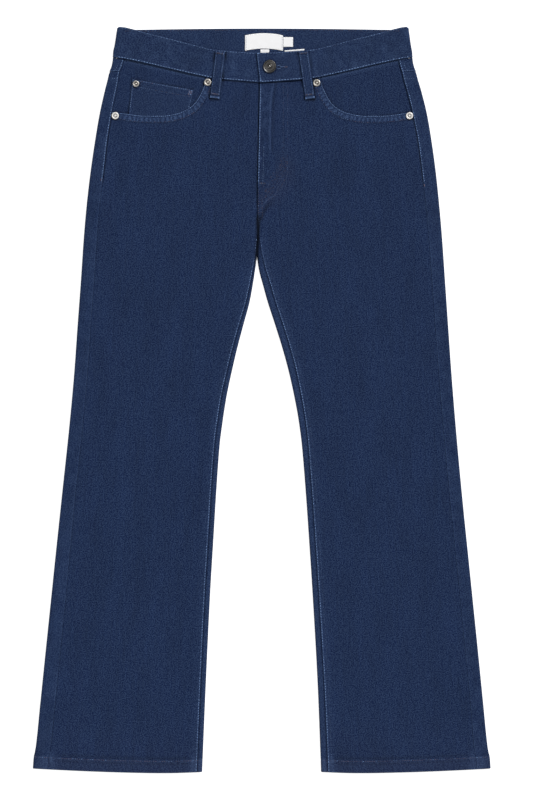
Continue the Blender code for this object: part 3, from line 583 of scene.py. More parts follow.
class Sheet:
    """A grid of points on a cloth piece's outer face, with their directions, wall and looks."""

    def __init__(self, x, height, z, wall, normal_x=0.0, normal_z=1.0, rise_up=0.0):
        self.x, self.height, self.z = x, height, z
        self.normal_x, self.normal_z, self.wall = normal_x + 0 * x, normal_z + 0 * x, wall + 0 * x
        self.high = height + rise_up
        self.along = self.from_first = arc_lengths(x, z)
        self.from_last = self.along[:, -1:] - self.along
        self.from_low = arc_lengths(self.high.T, 0 * x.T).T
        self.from_high = self.from_low[-1:, :] - self.from_low
        self.relief, self.low_relief, self.wear_and_painted_light = 0 * x, 0 * x, 0 * x
        self.cycles, self.swell, self.tan = 0 * x, 0 * x, 0 * x

    def nearest_side(self):
        return np.minimum(self.from_first, self.from_last)

    def round_edges(self, radius):
        """Rounds the rim on both faces."""
        nearest = np.minimum(self.nearest_side(), np.minimum(self.from_low, self.from_high))
        sunk = radius * (1 - np.sqrt(1 - (1 - np.clip(nearest / radius, 0, 1)) ** 2))
        self.relief = self.relief - sunk
        self.low_relief = self.low_relief + sunk * 0.8

    def paint_shade_on_turns(self):
        """Painted shade where the cloth rolls under."""
        self.wear_and_painted_light = self.wear_and_painted_light - 0.45 * fall(self.normal_z, 0.0, 0.75) * rise(self.normal_z, -0.95, -0.3)

    def press_folds(self, from_seam):
        """Just below the crotch the two legs are pressed flat against each other."""
        pressed = rise(self.height, 700, 708) * fall(self.height, 752, 756)
        self.relief = self.relief * (1 - pressed * fall(from_seam, 4, 8))

    def faces(self):
        """The outer and the inner face's points, one after the other."""
        points = []
        for out in (self.relief, self.low_relief - self.wall):
            points.append(placed(self.x + self.normal_x * out, self.high, self.z + self.normal_z * out))
        return np.concatenate(points)


def placed(x, y, z):
    """Points of the pattern in metres, in the object's frame."""
    return np.stack([x, y - MIDDLE_HEIGHT, z], axis=-1).reshape(-1, 3) * MM


def new_mesh(name, points, faces, looks):
    """A mesh with named values at its points."""
    mesh = bpy.data.meshes.new(name)
    mesh.from_pydata(points.tolist(), [], faces)
    for label, values in looks.items():
        attribute = mesh.attributes.new(label, "FLOAT", "POINT")
        attribute.data.foreach_set("value", np.array(values, dtype=np.float32))
    return mesh


def dressed(mesh, finish, nodes=(), sharp=None):
    """A piece of the garment from its mesh."""
    mesh.shade_smooth()
    if sharp:
        mesh.set_sharp_from_angle(angle=math.radians(sharp))
    mesh.materials.append(finish)
    piece = bpy.data.objects.new(mesh.name, mesh)
    bpy.context.scene.collection.objects.link(piece)
    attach(piece, "root")
    if nodes:
        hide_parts(*nodes)
    return piece


made_pieces = {}


def shell(sheet, name, nodes, slot, shift, lean=0.0, anchor=None):
    """A closed wall of cloth over a grid, with grain coordinates in metres and its looks."""
    rows, columns = sheet.x.shape
    count = rows * columns
    index = np.arange(count).reshape(rows, columns)
    a, b = index[:-1, :-1].ravel(), index[:-1, 1:].ravel()
    c, d = index[1:, 1:].ravel(), index[1:, :-1].ravel()
    upper = np.stack([a, b, c, d], axis=1)
    rim = np.concatenate([index[0, :], index[1:, -1], index[-1, -2::-1], index[-2:0:-1, 0]])
    after = np.roll(rim, -1)
    edge = np.stack([after, rim, rim + count, after + count], axis=1)
    quads = np.concatenate([upper, upper[:, ::-1] + count, edge])
    wear_and_painted_light = sheet.wear_and_painted_light.ravel()
    looks = {"wear_and_painted_light": np.clip(np.concatenate([wear_and_painted_light, wear_and_painted_light * 0.3]), -1, 1)}
    for label, values in (("cycles", sheet.cycles), ("swell", sheet.swell), ("tan", sheet.tan)):
        looks[label] = np.tile(values.ravel(), 2)
    mesh = new_mesh(name, sheet.faces(), quads.tolist(), looks)
    # Grain coordinates: along the skin across the cloth, and up the garment
    middle = columns // 2 if anchor is None else anchor
    across = sheet.along - sheet.along[:, middle:middle + 1]
    direction = 1.0 if sheet.x[rows // 2, -1] > sheet.x[rows // 2, 0] else -1.0
    across = across * direction + (sheet.x - lean * sheet.height)[:, middle:middle + 1]
    grain = np.stack([across * MM + shift[0], sheet.height * MM + shift[1]], axis=-1).reshape(-1, 2)
    grain = np.concatenate([grain, grain])
    layer = mesh.uv_layers.new(name="grain")
    loop_points = np.empty(len(mesh.loops), dtype=np.int32)
    mesh.loops.foreach_get("vertex_index", loop_points)
    layer.data.foreach_set("uv", grain[loop_points].astype(np.float32).ravel())
    work = bmesh.new()
    work.from_mesh(mesh)
    if work.calc_volume(signed=True) < 0:
        bmesh.ops.reverse_faces(work, faces=work.faces)
    work.to_mesh(mesh)
    work.free()
    piece = dressed(mesh, FINISHES[slot], nodes, sharp=58)
    made_pieces[name] = piece


class Shader:
    """A material's nodes, with short ways to add more of them."""

    def __init__(self, name):
        self.material = bpy.data.materials.new(name)
        self.material.use_nodes = True
        self.tree = self.material.node_tree

    def put(self, socket, value):
        """Links an input to another node's output, or sets it to a number or a colour."""
        if isinstance(value, bpy.types.NodeSocket):
            self.tree.links.new(value, socket)
        elif isinstance(value, tuple) and socket.type == "RGBA":
            socket.default_value = (*value, 1.0)
        else:
            socket.default_value = value

    def finish(self, inputs):
        """The finished material, with these inputs of its surface."""
        for name, value in inputs.items():
            self.put(self.tree.nodes["Principled BSDF"].inputs[name], value)
        return self.material

    def add(self, kind, inputs=None, **settings):
        node = self.tree.nodes.new(f"ShaderNode{kind}")
        for name, value in settings.items():
            setattr(node, name, value)
        for name, value in (inputs or {}).items():
            self.put(node.inputs[name], value)
        return node

    def math(self, operation, *values):
        node = self.add("Math", operation=operation)
        for socket, value in zip(node.inputs, values):
            self.put(socket, value)
        return node.outputs[0]

    def scaled(self, value, factor, extra):
        return self.math("MULTIPLY_ADD", value, factor, extra)

    def mix(self, blend, factor, first, second):
        inputs = {"Factor": factor, "A": first, "B": second}
        return self.add("Mix", inputs, data_type="RGBA", blend_type=blend).outputs["Result"]

    def grey(self, level):
        return self.add("CombineColor", {"Red": level, "Green": level, "Blue": level}).outputs[0]

    def attribute(self, name):
        return self.add("Attribute", attribute_name=name).outputs["Fac"]

    def grain(self):
        return self.add("UVMap", uv_map="grain").outputs[0]

    def cloth_noise(self, grain, across, up, detail, rough=0.5):
        """A noise of its own scale across and up the cloth, from 0 to 1 round 0.5."""
        stretch = self.add("Mapping", {"Vector": grain, "Scale": (across, up, 1.0)}).outputs[0]
        inputs = {"Vector": stretch, "Scale": 1.0, "Detail": detail, "Roughness": rough}
        return self.add("TexNoise", inputs, noise_dimensions="2D").outputs["Fac"]

    def fine_noise(self, scale, detail):
        """A noise in the piece's own space."""
        inputs = {"Vector": self.add("TexCoord").outputs["Object"], "Scale": scale, "Detail": detail}
        return self.add("TexNoise", inputs).outputs["Fac"]

    def bump(self, height, strength, distance):
        return self.add("Bump", {"Height": height, "Strength": strength, "Distance": distance}).outputs[0]


# The colour of worn places, also the colour of painted highlights
WORN_AND_HIGHLIGHT = (0.100, 0.168, 0.335)
TAN = (0.055, 0.043, 0.052)


def denim(name, dark, light, streaks):
    """Indigo twill: white weft flecks between dark warp ends, ribs, slubs, uneven dye, worn places, and
    painted shade and highlights.
    """
    made = Shader(name)
    grain = made.grain()
    slope = made.add("Mapping", {"Vector": grain, "Scale": (330.0, 190.0, 1.0)}).outputs[0]
    rib_inputs = {"Vector": slope, "Scale": 1.0, "Distortion": 1.2, "Detail": 1.0, "Detail Scale": 1.5}
    ribs = made.add("TexWave", rib_inputs, wave_type="BANDS", bands_direction="DIAGONAL").outputs["Fac"]
    speckle = made.cloth_noise(grain, 640.0, 640.0, 1.0, 0.7)
    fleck = made.cloth_noise(grain, 700.0, 110.0, 1.0)
    slub = made.cloth_noise(grain, 260.0, 20.0, 2.0, 0.6)
    patch = made.cloth_noise(grain, 34.0, 11.0, 3.0, 0.55)
    sway = made.cloth_noise(grain, 95.0, 95.0, 1.0)
    # Weft flecks, from none to many
    weft = made.scaled(fleck, 0.8, made.scaled(speckle, 3.9, -2.1))
    weft = made.scaled(ribs, 0.5, weft)
    weft = made.math("MINIMUM", made.math("MAXIMUM", weft, 0.0), 1.0)
    cloth = made.mix("MIX", weft, dark, light)
    # Slubs and uneven dye
    level = made.scaled(patch, 0.35, made.scaled(slub, 0.32 * streaks, 0.825 - 0.16 * streaks))
    # Worn places and painted highlights are paler, broken up by the weave; painted shade darkens the cloth
    # where the value is below zero
    tone_shift = made.attribute("wear_and_painted_light")
    broken = made.scaled(speckle, 1.4, 0.3)
    turn = made.scaled(made.attribute("cycles"), 2 * math.pi, made.math("MULTIPLY", sway, 8.0))
    puff = made.scaled(made.math("SINE", turn), 0.5, 0.5)
    puff = made.math("MULTIPLY", made.math("POWER", puff, 1.5), made.attribute("swell"))
    wear_and_highlight = made.math("ADD", made.math("MAXIMUM", tone_shift, 0.0), puff)
    wear_and_highlight = made.math("MINIMUM", made.math("MULTIPLY", wear_and_highlight, broken), 1.0)
    darkening = made.scaled(made.math("MINIMUM", tone_shift, 0.0), 0.8, 1.0)
    cloth = made.mix("MULTIPLY", 1.0, cloth, made.grey(made.math("MULTIPLY", level, darkening)))
    cloth = made.mix("MIX", wear_and_highlight, cloth, WORN_AND_HIGHLIGHT)
    cloth = made.mix("MIX", made.math("MULTIPLY", made.attribute("tan"), broken), cloth, TAN)
    surface = made.scaled(ribs, 0.5, made.math("MULTIPLY", speckle, 0.6))
    surface = made.scaled(puff, 2.5, made.scaled(slub, 0.35, surface))
    return made.finish({
        "Base Color": cloth, "Roughness": made.scaled(speckle, 0.2, 0.72), "Specular IOR Level": 0.12,
        "Sheen Weight": 0.05, "Sheen Roughness": 0.5, "Sheen Tint": (0.35, 0.5, 0.9),
        "Normal": made.bump(surface, 0.5, 0.00028),
    })


def sewing_thread():
    """Sewing thread in tones of blue, with a rust-brown one mixed in."""
    made = Shader("sewing_thread")
    fibre = made.fine_noise(2600.0, 1.0)
    level = made.math("ADD", made.attribute("tone"), made.scaled(fibre, 0.5, -0.25))
    blue = made.mix("MIX", level, (0.028, 0.050, 0.120), (0.175, 0.285, 0.520))
    brown = made.mix("MIX", level, (0.040, 0.034, 0.055), (0.165, 0.132, 0.190))
    return made.finish({
        "Base Color": made.mix("MIX", made.attribute("rust"), blue, brown),
        "Roughness": made.scaled(fibre, 0.2, 0.45), "Specular IOR Level": 0.2, "Sheen Weight": 0.1,
    })


def woven_tape():
    """White woven satin tape with a fine rib."""
    made = Shader("woven_tape")
    grain = made.grain()
    weave = made.cloth_noise(grain, 500.0, 2400.0, 1.0)
    cloud = made.cloth_noise(grain, 90.0, 120.0, 2.0)
    level = made.scaled(cloud, 0.06, made.scaled(weave, 0.10, 0.92))
    return made.finish({
        "Base Color": made.mix("MULTIPLY", 1.0, (0.90, 0.90, 0.91), made.grey(level)),
        "Roughness": made.scaled(weave, 0.2, 0.5), "Specular IOR Level": 0.2,
        "Normal": made.bump(weave, 0.4, 0.0001),
    })


def plated_metal(name, colour, dark, grime, scale, metallic=1.0):
    """Plated metal with handling marks, darker with grime in its hollows, and a painted highlight where the
    value is below zero.
    """
    made = Shader(name)
    marks = made.fine_noise(scale, 4.0)
    darkening = made.attribute("darkening")
    grimed = made.mix("MIX", darkening, made.mix("MIX", marks, colour, dark), grime)
    # Painted highlight, in a pale colour, where the value is below zero
    highlight_mask = made.math("MAXIMUM", made.math("MULTIPLY", darkening, -1.0), 0.0)
    return made.finish({
        "Base Color": made.mix("MIX", highlight_mask, grimed, (0.80, 0.79, 0.77)), "Metallic": metallic,
        "Roughness": made.scaled(marks, 0.25, 0.3), "Normal": made.bump(marks, 0.3, 0.0001),
    })


FINISHES = {
    "denim": denim("indigo_denim", (0.0010, 0.0080, 0.0435), (0.0223, 0.0423, 0.0990), 1.0),
    "denim_trim": denim("indigo_denim_trim", (0.0028, 0.0105, 0.0480), (0.0255, 0.0475, 0.1070), 0.6),
    "label": woven_tape(),
}
THREAD = sewing_thread()
GUNMETAL = plated_metal(
    "antique_nickel", (0.150, 0.146, 0.142), (0.070, 0.067, 0.064), (0.022, 0.021, 0.020), 900.0,
)
NICKEL = plated_metal("nickel", (0.66, 0.63, 0.59), (0.42, 0.40, 0.37), (0.12, 0.10, 0.085), 1200.0)
BRIGHT_NICKEL = plated_metal(
    "bright_nickel", (0.92, 0.90, 0.87), (0.74, 0.72, 0.69), (0.16, 0.15, 0.14), 900.0, 0.35,
)


# Camera, light and the surface, in metres
LENS = 98
SENSOR = 36
VIEW_HEIGHT = 1.1


def sun_light(name, towards, strength, softness):
    """A far, soft light that shines evenly on the whole garment."""
    light = bpy.data.lights.new(name, "SUN")
    light.energy = strength
    light.angle = math.radians(softness)
    made = bpy.data.objects.new(name, light)
    bpy.context.scene.collection.objects.link(made)
    made.location = Vector(towards) * 3
    made.rotation_euler = (-Vector(towards)).to_track_quat("-Z", "Y").to_euler()


def studio():
    scene = bpy.context.scene
    camera = bpy.data.objects.new("camera", bpy.data.cameras.new("camera"))
    scene.collection.objects.link(camera)
    camera.data.lens = LENS
    camera.data.sensor_width = SENSOR
    camera.data.clip_end = 50
    camera.location = (6.9 * MM, 0.0, 5 * MM + LENS / SENSOR * VIEW_HEIGHT)
    scene.camera = camera
    sun_light("key", (0.75, 0.85, 1.0), 2.55, 14.0)
    sun_light("fill", (-0.9, -0.3, 1.3), 0.40, 40.0)
    scene.world = bpy.data.worlds.new("studio")
    scene.world.use_nodes = True
    sky = scene.world.node_tree.nodes["Background"].inputs
    sky["Color"].default_value = (1.0, 1.0, 1.0, 1.0)
    sky["Strength"].default_value = 0.36
    scene.view_settings.view_transform = "Standard"
    mesh = bpy.data.meshes.new("floor")
    mesh.from_pydata([(-6, -6, 0), (6, -6, 0), (6, 6, 0), (-6, 6, 0)], [], [(0, 1, 2, 3)])
    mesh.materials.append(Shader("paper").finish({
        "Base Color": (0.50, 0.50, 0.50), "Roughness": 0.95, "Specular IOR Level": 0.1,
        "Emission Color": (1.0, 1.0, 1.0), "Emission Strength": 0.86,
    }))
    floor = bpy.data.objects.new("floor", mesh)
    scene.collection.objects.link(floor)
    floor.location = (0, 0, -0.0002)


studio()

# Cloth pieces
EDGE = np.array([0, 0.08, 0.22, 0.42, 0.7, 1.05, 1.45, 1.9, 2.4, 3.0, 3.7, 4.6, 5.6, 6.8, 8.2, 9.8, 11.8])
HEM_ROWS = [-0.9, -0.7, -0.3, 0.3, 1.2, 2.5, 4.5, 7, 9.5, 12, 13.6, 14.6, 15.2, 15.8, 16.4, 17, 18, 19.6]
ROLLED = 0.5


def leg_rows(step):
    """Heights up the leg, closer together at the hem."""
    return np.concatenate([HEM_ROWS, np.arange(21.6, UPPER - 1, step), [UPPER]])


def gathered(parts):
    """Grids from a list of columns, one grid for each of a column's values."""
    return (np.array([part[i] for part in parts]).T for i in range(len(parts[0])))


def front_sheet(side):
    at = 925.0
    start, end = front_span(side, at)
    first = start + EDGE[-1]
    edge = inner_edge(side, at)
    over_fly = np.arange(abs(float(edge + side * first - MIDDLE)) + 1.4, 24 if side > 0 else 9, 1.4)
    columns = np.concatenate([
        over_fly, np.arange(over_fly[-1] + 3.6, 68, 3.8), np.arange(69, 76, 1.8), np.arange(76.2, 96, 1.1),
        np.arange(97, 116, 2.2), np.arange(118, side * float(side_seam(side, at) - MIDDLE) - 13, 3.8),
    ])
    places = (MIDDLE + side * columns - edge) * side
    shares = np.concatenate([(places - first) / (end - first), 1 - EDGE[::-1] / (end - first)])
    fine = 1 - np.array([0, 0.2, 0.5, 0.9, 1.5, 2.3, 3.4, 4.8, 6.6, 9, 12]) / 60
    up = np.unique(np.concatenate([np.linspace(0, 1, 26)[1:], fine]))
    low = leg_rows(2.3)
    parts = []
    for column in range(len(EDGE) + len(shares)):
        def along_at(height):
            here, there = front_span(side, height)
            if column < len(EDGE):
                return here + EDGE[column]
            return here + EDGE[-1] + (there - here - EDGE[-1]) * shares[column - len(EDGE)]

        floor, ceiling = UPPER, 990.0
        for _ in range(40):
            middle = np.array((floor + ceiling) / 2)
            if middle < front_ceiling(front_point(side, along_at(middle), middle)[0]):
                floor = float(middle)
            else:
                ceiling = float(middle)
        height = np.concatenate([low, UPPER + (floor - UPPER) * up])
        parts.append((height, along_at(height)))
    height, along = gathered(parts)
    x, z, normal_x, normal_z = front_point(side, along, height)
    sheet = Sheet(x, height, z, wall_at(height), normal_x, normal_z, hem_rise(side, x, height))
    here, there = front_span(side, height)
    looks = front_relief(side, x, height, along - here, there - along)
    sheet.relief, sheet.wear_and_painted_light, sheet.cycles, sheet.swell = looks
    sheet.tan = hem_tan(height)
    if side > 0:
        far, place = fly_sewing.near(x, height)
        inside = rise(place, 85, 120) * fall(np.abs(far), 4, 22)
        sheet.tan = sheet.tan + 0.05 * inside * rise(height, 768, 784)
    sheet.paint_shade_on_turns()
    sheet.round_edges(ROLLED)
    sheet.press_folds(sheet.from_first)
    return sheet


def edge_shares(count, length, spread):
    """Shares from 0 to 1, close together at 0."""
    near = EDGE[EDGE < spread] / length
    return np.concatenate([near, np.linspace(near[-1], 1, count + 1)[1:]])


def back_grid(side, tails, heights_of, wall):
    """A sheet over the back's skin, from the side seam round under the leg."""
    columns = [("wrap", share) for share in edge_shares(5, 17.5, 6)[:-1]]
    columns += [("roll", i / 12) for i in range(12)]
    columns += [("floor", share) for share in np.linspace(0, 1, 27)[:-1]]
    columns += [("tail", share) for share in tails]
    parts = []
    for zone, share in columns:
        height = heights_of(zone, share)
        parts.append((height, *back_point(side, zone, share, height)))
    height, x, z, normal_x, normal_z = gathered(parts)
    return Sheet(x, height, z, wall(height), normal_x, normal_z, hem_rise(side, x, height))


def back_sheet(side):
    def heights(zone, share):
        top = yoke_seam(zone, share) - SEAM
        return np.concatenate([leg_rows(3.2), UPPER + (top - UPPER) * np.linspace(0, 1, 22)[1:]])

    sheet = back_grid(side, 1 - edge_shares(9, 13, 4)[::-1], heights, wall_at)
    on_top = np.clip(sheet.normal_z, 0, 1)
    relief, sheet.wear_and_painted_light = back_relief(side, sheet.x, sheet.height, sheet.from_last, sheet.from_first, on_top)
    sheet.relief = relief * rise(sheet.normal_z, -0.6, 0.2)
    sheet.tan = hem_tan(sheet.height)
    sheet.paint_shade_on_turns()
    sheet.round_edges(ROLLED)
    sheet.press_folds(sheet.from_last)
    return sheet


def yoke_sheet(side):
    spread = np.array([
        0, 0.01, 0.03, 0.06, 0.1, 0.16, 0.24, 0.34, 0.44, 0.54, 0.64, 0.74, 0.82, 0.9, 0.95, 0.985, 1,
    ])

    def heights(zone, share):
        low = yoke_seam(zone, share) + SEAM
        top = WAIST_BACK
        if zone == "wrap":
            seam_x = back_point(side, zone, share, np.array([WAIST_BACK]))[0][0]
            top = float(band_seam(abs(seam_x - MIDDLE)))
        return low + (top - GAP - low) * spread

    sheet = back_grid(side, np.linspace(0, 1, 6), heights, lambda height: WALL)
    far, edge = sheet.from_low, sheet.from_first
    on_top = rise(sheet.normal_z, -0.6, 0.2)
    relief = 0.1 * bell(far, 1.2, 0.8) + 0.12 * bell(edge, 1.2, 0.9) + 0.3 * fall(edge, 3, 9)
    sheet.relief = relief * on_top
    sheet.wear_and_painted_light = 0.08 * bell(far, 0.9, 0.9) + 0.16 * bell(edge, 0.9, 0.9)
    # Painted shadow along the top, under the waistband
    sheet.wear_and_painted_light = sheet.wear_and_painted_light + on_top * (0.03 - 0.5 * bell(sheet.from_high, 0, 1.4))
    sheet.paint_shade_on_turns()
    sheet.round_edges(ROLLED)
    return sheet


def facing_sheet(side):
    parts = []
    for share in np.linspace(0, 1, 46):
        def across_at(height):
            start = side * (side_seam(side, height) - MIDDLE) - SEAM
            return start + (FACING_END - start) * share

        low, high = np.array(920.0), np.array(970.0)
        for _ in range(6):
            low = mouth_line(np.maximum(across_at(low), 80) + 6) - MOUTH_TUCK
            high = band_seam(across_at(high)) - GAP
        height = low + (high - low) * np.linspace(0, 1, 26)
        parts.append((MIDDLE + side * across_at(height), height))
    x, height = gathered(parts)
    sheet = Sheet(x, height, cloth_top(side, x, height) - WALL - GAP, WALL)
    sheet.relief = 0.1 * soft_waves(x, height, 18, 5.5 + side) * rise(sheet.from_high, 1, 8)
    far, _ = pocket_mouth[side].near(x, height)
    # Painted shadows round the rivets and along the pocket mouth, and painted light under the band's edge
    # that lifts its shadow
    sheet.wear_and_painted_light = -0.03 - 0.5 * metal_painted_shadow(x, height) + 0.25 * bell(sheet.from_high, 0.5, 2.5)
    sheet.wear_and_painted_light += 0.03 * rise(-sheet.from_high, -22, -4) - 0.4 * bell(np.abs(far), 0, 1.4)
    if side < 0:
        sheet.relief = sheet.relief * 0.3 - 0.1
        # Painted shadow beside the coin pocket
        sheet.wear_and_painted_light -= 0.5 * coin_painted_shadow(x, height)
    sheet.round_edges(0.4)
    return sheet


def coin_sheet():
    (outer_at, outer_high, outer_lean), (inner_at, inner_high, inner_lean) = COIN
    edge = EDGE[:12] / 85
    shares = np.concatenate([edge, np.linspace(edge[-1], 1 - edge[-1], 26)[1:-1], 1 - edge[::-1]])
    rows = np.concatenate([np.linspace(0, 0.6, 14)[:-1], np.linspace(0.6, 0.97, 16), [0.98, 0.99, 0.996, 1]])
    parts = []
    for share in shares:
        def across_at(height):
            start = outer_at + (outer_high - height) * outer_lean
            end = inner_at + (inner_high - height) * inner_lean
            return start + (end - start) * share

        high = outer_high + (inner_high - outer_high) * share
        low = np.array(900.0)
        for _ in range(8):
            low = mouth_line(across_at(low)) - COIN_TUCK
        height = low + (high - low) * rows
        parts.append((MIDDLE - across_at(height), height))
    x, height = gathered(parts)
    sheet = Sheet(x, height, cloth_top(-1, x, height) - WALL + THIN, THIN)
    far, sides = sheet.from_high, sheet.nearest_side()
    band = fall(far, 8.6, 10.2)
    puffs = 0.5 + 0.5 * pucker(x + 0.3 * height, 6.0, 2.2)
    relief = 0.12 * band * (0.5 + 0.5 * puffs) - 0.12 * bell(far, 9.4, 0.8) + 0.1 * bell(sides, 1.6, 0.8)
    relief += 0.08 * soft_waves(x, height, 14, 2.5) * rise(far, 10, 14)
    sheet.relief = np.minimum(relief, 0.16)
    sheet.wear_and_painted_light = 0.12 * bell(far, 0.9, 0.9) + band * (0.06 * puffs - 0.02) - 0.01
    # Worn sides, and painted shadow round the rivets
    sheet.wear_and_painted_light += 0.12 * bell(sides, 1.2, 0.9) - 0.8 * metal_painted_shadow(x, height)
    sheet.round_edges(0.4)
    return sheet


def strip_grid(low, high, rows, share):
    """Heights up a narrow piece, with a row of shares across it."""
    return np.linspace(low, high, rows)[:, None] * np.ones((1, len(share))), np.array(share)[None, :]


def shield_sheet():
    height, share = strip_grid(FLY_END[1], band_seam(0.0) - 4, 40, np.linspace(0, 1, 14))
    x = centre_line(height) + SHIELD[0] + (SHIELD[1] - SHIELD[0]) * share
    sheet = Sheet(x, height, cloth_top(1, x, height) - WALL - GAP, THIN)
    sheet.round_edges(0.35)
    return sheet


def felled_seam_sheet():
    """The seam allowance that lies under the front's centre seam, below the fly shield, dark all over with
    painted shade.
    """
    height, share = strip_grid(748.6, 812.6, 30, np.linspace(-1, 1, 8))
    x = centre_line(height) + (0.3 + 5.2 * rise(height, 750, 757)) * share
    deeper = 0.35 + 0.55 * fall(height, 750, 756)
    sheet = Sheet(x, height, cloth_top(1, x, height) - WALL - deeper, THIN)
    # Painted shade over the whole strip
    sheet.wear_and_painted_light = -0.9 + 0 * x
    sheet.round_edges(0.3)
    return sheet


def band_sheet():
    """One band from its buttoned end round the back to the end that lies under it."""
    radius = BAND_TOP / 2
    edge = np.array([0, 0.2, 0.5, 0.9, 1.5, 2.2, 3.2, 4.6, 6.4]) / 41
    rows = np.concatenate([edge, np.linspace(8.6, 32.4, 13) / 41, 1 - edge[::-1]])
    left = np.concatenate([EDGE[:12] / 208, np.linspace(0.03, 0.985, 70)])
    right = np.concatenate([np.linspace(0.985, 0.03, 58), EDGE[:10][::-1] / 170])
    columns = [(1, "top", share) for share in left]
    columns += [(1, "roll", i / 14) for i in range(14)]
    columns += [(0, "floor", i / 110) for i in range(111)]
    columns += [(-1, "roll", 1 - i / 14) for i in range(1, 15)]
    columns += [(-1, "top", share) for share in right]
    parts = []
    for side, zone, share in columns:
        height = WAIST_BACK + (WAIST_CORNER_TOP - WAIST_BACK) * rows
        turn = {"top": math.pi / 2, "roll": math.pi / 2 - math.pi * share, "floor": -math.pi / 2}[zone]
        for _ in range(6):
            if zone == "top":
                start = centre_line(height) + (BAND_LAP if side < 0 else 0.0)
                x = start + (outer_edge[side](height) - side * radius - start) * share
                across = np.abs(x - MIDDLE)
                low, high, z = band_seam(across), band_edge(across), band_top(side, across)
            elif zone == "roll":
                x = outer_edge[side](height) - side * radius * (1 - math.cos(turn))
                z = radius + radius * math.sin(turn) + 0 * x
                low, high = WAIST_BACK, WAIST_CORNER_TOP - share * (WAIST_CORNER_TOP - back_top(x))
            else:
                start, end = outer_edge[1](height) - radius, outer_edge[-1](height) + radius
                x = start + (end - start) * share
                low, high, z = WAIST_BACK, back_top(x), floor_level(x, height)
            height = low + (high - low) * rows
        normal_x = side * math.cos(turn) if zone == "roll" else 0.0
        parts.append((x, height, z, normal_x + 0 * x, math.sin(turn) + 0 * x))
    x, height, z, normal_x, normal_z = gathered(parts)
    sheet = Sheet(x, height, z, BAND_WALL, normal_x, normal_z)
    low, high, first = sheet.from_low, sheet.from_high, sheet.from_first
    upper = rise(normal_z, -0.6, 0.2)
    puffs = pucker(sheet.along, 8.5, 3.1)
    relief = 0.2 * bell(low, 1.6, 0.8) - 0.1 * bell(low, 2.9, 0.6) + 0.12 * bell(high, 1.4, 0.9)
    relief += 0.06 * puffs * (bell(low, 5, 4) + bell(high, 5, 4)) - 0.08 * bell(high, 2.6, 0.7)
    relief += 0.14 * bell(first, 1.4, 0.9)
    relief += 0.16 * soft_waves(x, height, 22, 7.7) * rise(low, 3, 9) * rise(high, 3, 9)
    near_button = bell(np.hypot(x - BUTTON_PLACE[0], height - BUTTON_PLACE[1]), 0, 16)
    sheet.relief = relief * (1 - 0.8 * near_button) * upper
    patches = np.clip(soft_waves(x, height, 11, 1.9), -0.4, 1)
    hole = np.hypot((x - HOLE_PLACE[0]) / 2.3, (height - HOLE_PLACE[1]) / 1.1)
    # Painted shadows beside the loops, button and rivets, and painted shade in the buttonhole
    shade = 0.95 * loop_painted_shadow(x, height) + 0.8 * metal_painted_shadow(x, height) + 0.9 * bell(hole, 0, 1.0)
    wear_and_painted_light = 0.14 * bell(low, 1.3, 0.9) + 0.13 * bell(high, 0.8, 0.8) + 0.08 * patches - upper * shade
    sheet.wear_and_painted_light = wear_and_painted_light + 0.05 * puffs * bell(low, 5, 4) + 0.26 * bell(first, 0.9, 0.9)
    sheet.paint_shade_on_turns()
    sheet.round_edges(0.6)
    return sheet


def loop_sheet(top_x, top_y, foot_x, foot_y):
    """A front belt loop, from its foot up, turned under at both ends."""
    side = 1 if top_x > 0 else -1
    along = np.concatenate([
        np.linspace(0, 0.07, 9), np.linspace(0.09, 0.86, 40), np.linspace(0.875, 1.0, 14),
    ])[::-1, None]
    half = np.array([0.14, 0.27, 0.36, 0.42, 0.46, 0.485, 0.5])
    across = np.concatenate([-half[::-1], [0], half])[None, :]
    lean = (foot_x - top_x) / (foot_y - top_y)
    x = top_x + (foot_x - top_x) * along + across * LOOP_WIDTH
    y = top_y + (foot_y - top_y) * along - across * LOOP_WIDTH * lean
    centre = np.abs(x - MIDDLE)
    seam = band_seam(centre)
    panel, band = front_top(side, x, y), band_top(side, centre)
    under = panel + (band - panel) * rise(y, seam - 14, seam - 2)
    under = np.maximum(under, np.where(y > seam - 2, band, panel))
    bow = LOOP_BOW * np.sin(math.pi * along) * (1 - 0.4 * np.abs(across * 2))
    thick = THIN + 0.9 * (fall(along, 0.04, 0.075) + rise(along, 0.905, 0.93))
    sheet = Sheet(x, y, under + GAP + bow + thick, thick)
    sides = sheet.nearest_side()
    sheet.relief = 0.16 * bell(sides, 2.4, 1.0) - 0.16 * bell(sides, 6.5, 2.0)
    foot = bell(sheet.from_low, 1.2, 1.3) * (0.6 + 0.8 * bell(sides, 1.0, 1.6))
    mottle = 1 + 0.7 * soft_waves(x, y, 6, 4.4 + side)
    sheet.wear_and_painted_light = 0.13 * mottle * bell(sides, 0.9, 0.7) - 0.2 * bell(sides, 2.6, 0.8) + 0.75 * foot
    sheet.wear_and_painted_light += 0.1 * bell(sheet.from_high, 1, 1) - 0.45 * bell(sheet.from_low, 4.2, 0.9)
    sheet.round_edges(0.42)
    return sheet


def back_loop_sheet(place):
    half = np.array([0.25, 0.4, 0.46, 0.485, 0.5])
    y, share = strip_grid(*BACK_LOOP_SPAN, 60, np.concatenate([-half[::-1], [0], half]))
    sheet = Sheet(place + share * LOOP_WIDTH + 0 * y, y, THIN + 0 * y, THIN)
    sheet.wear_and_painted_light = 0.02 + 0.13 * bell(sheet.nearest_side(), 0.9, 0.9)
    sheet.round_edges(0.35)
    return sheet


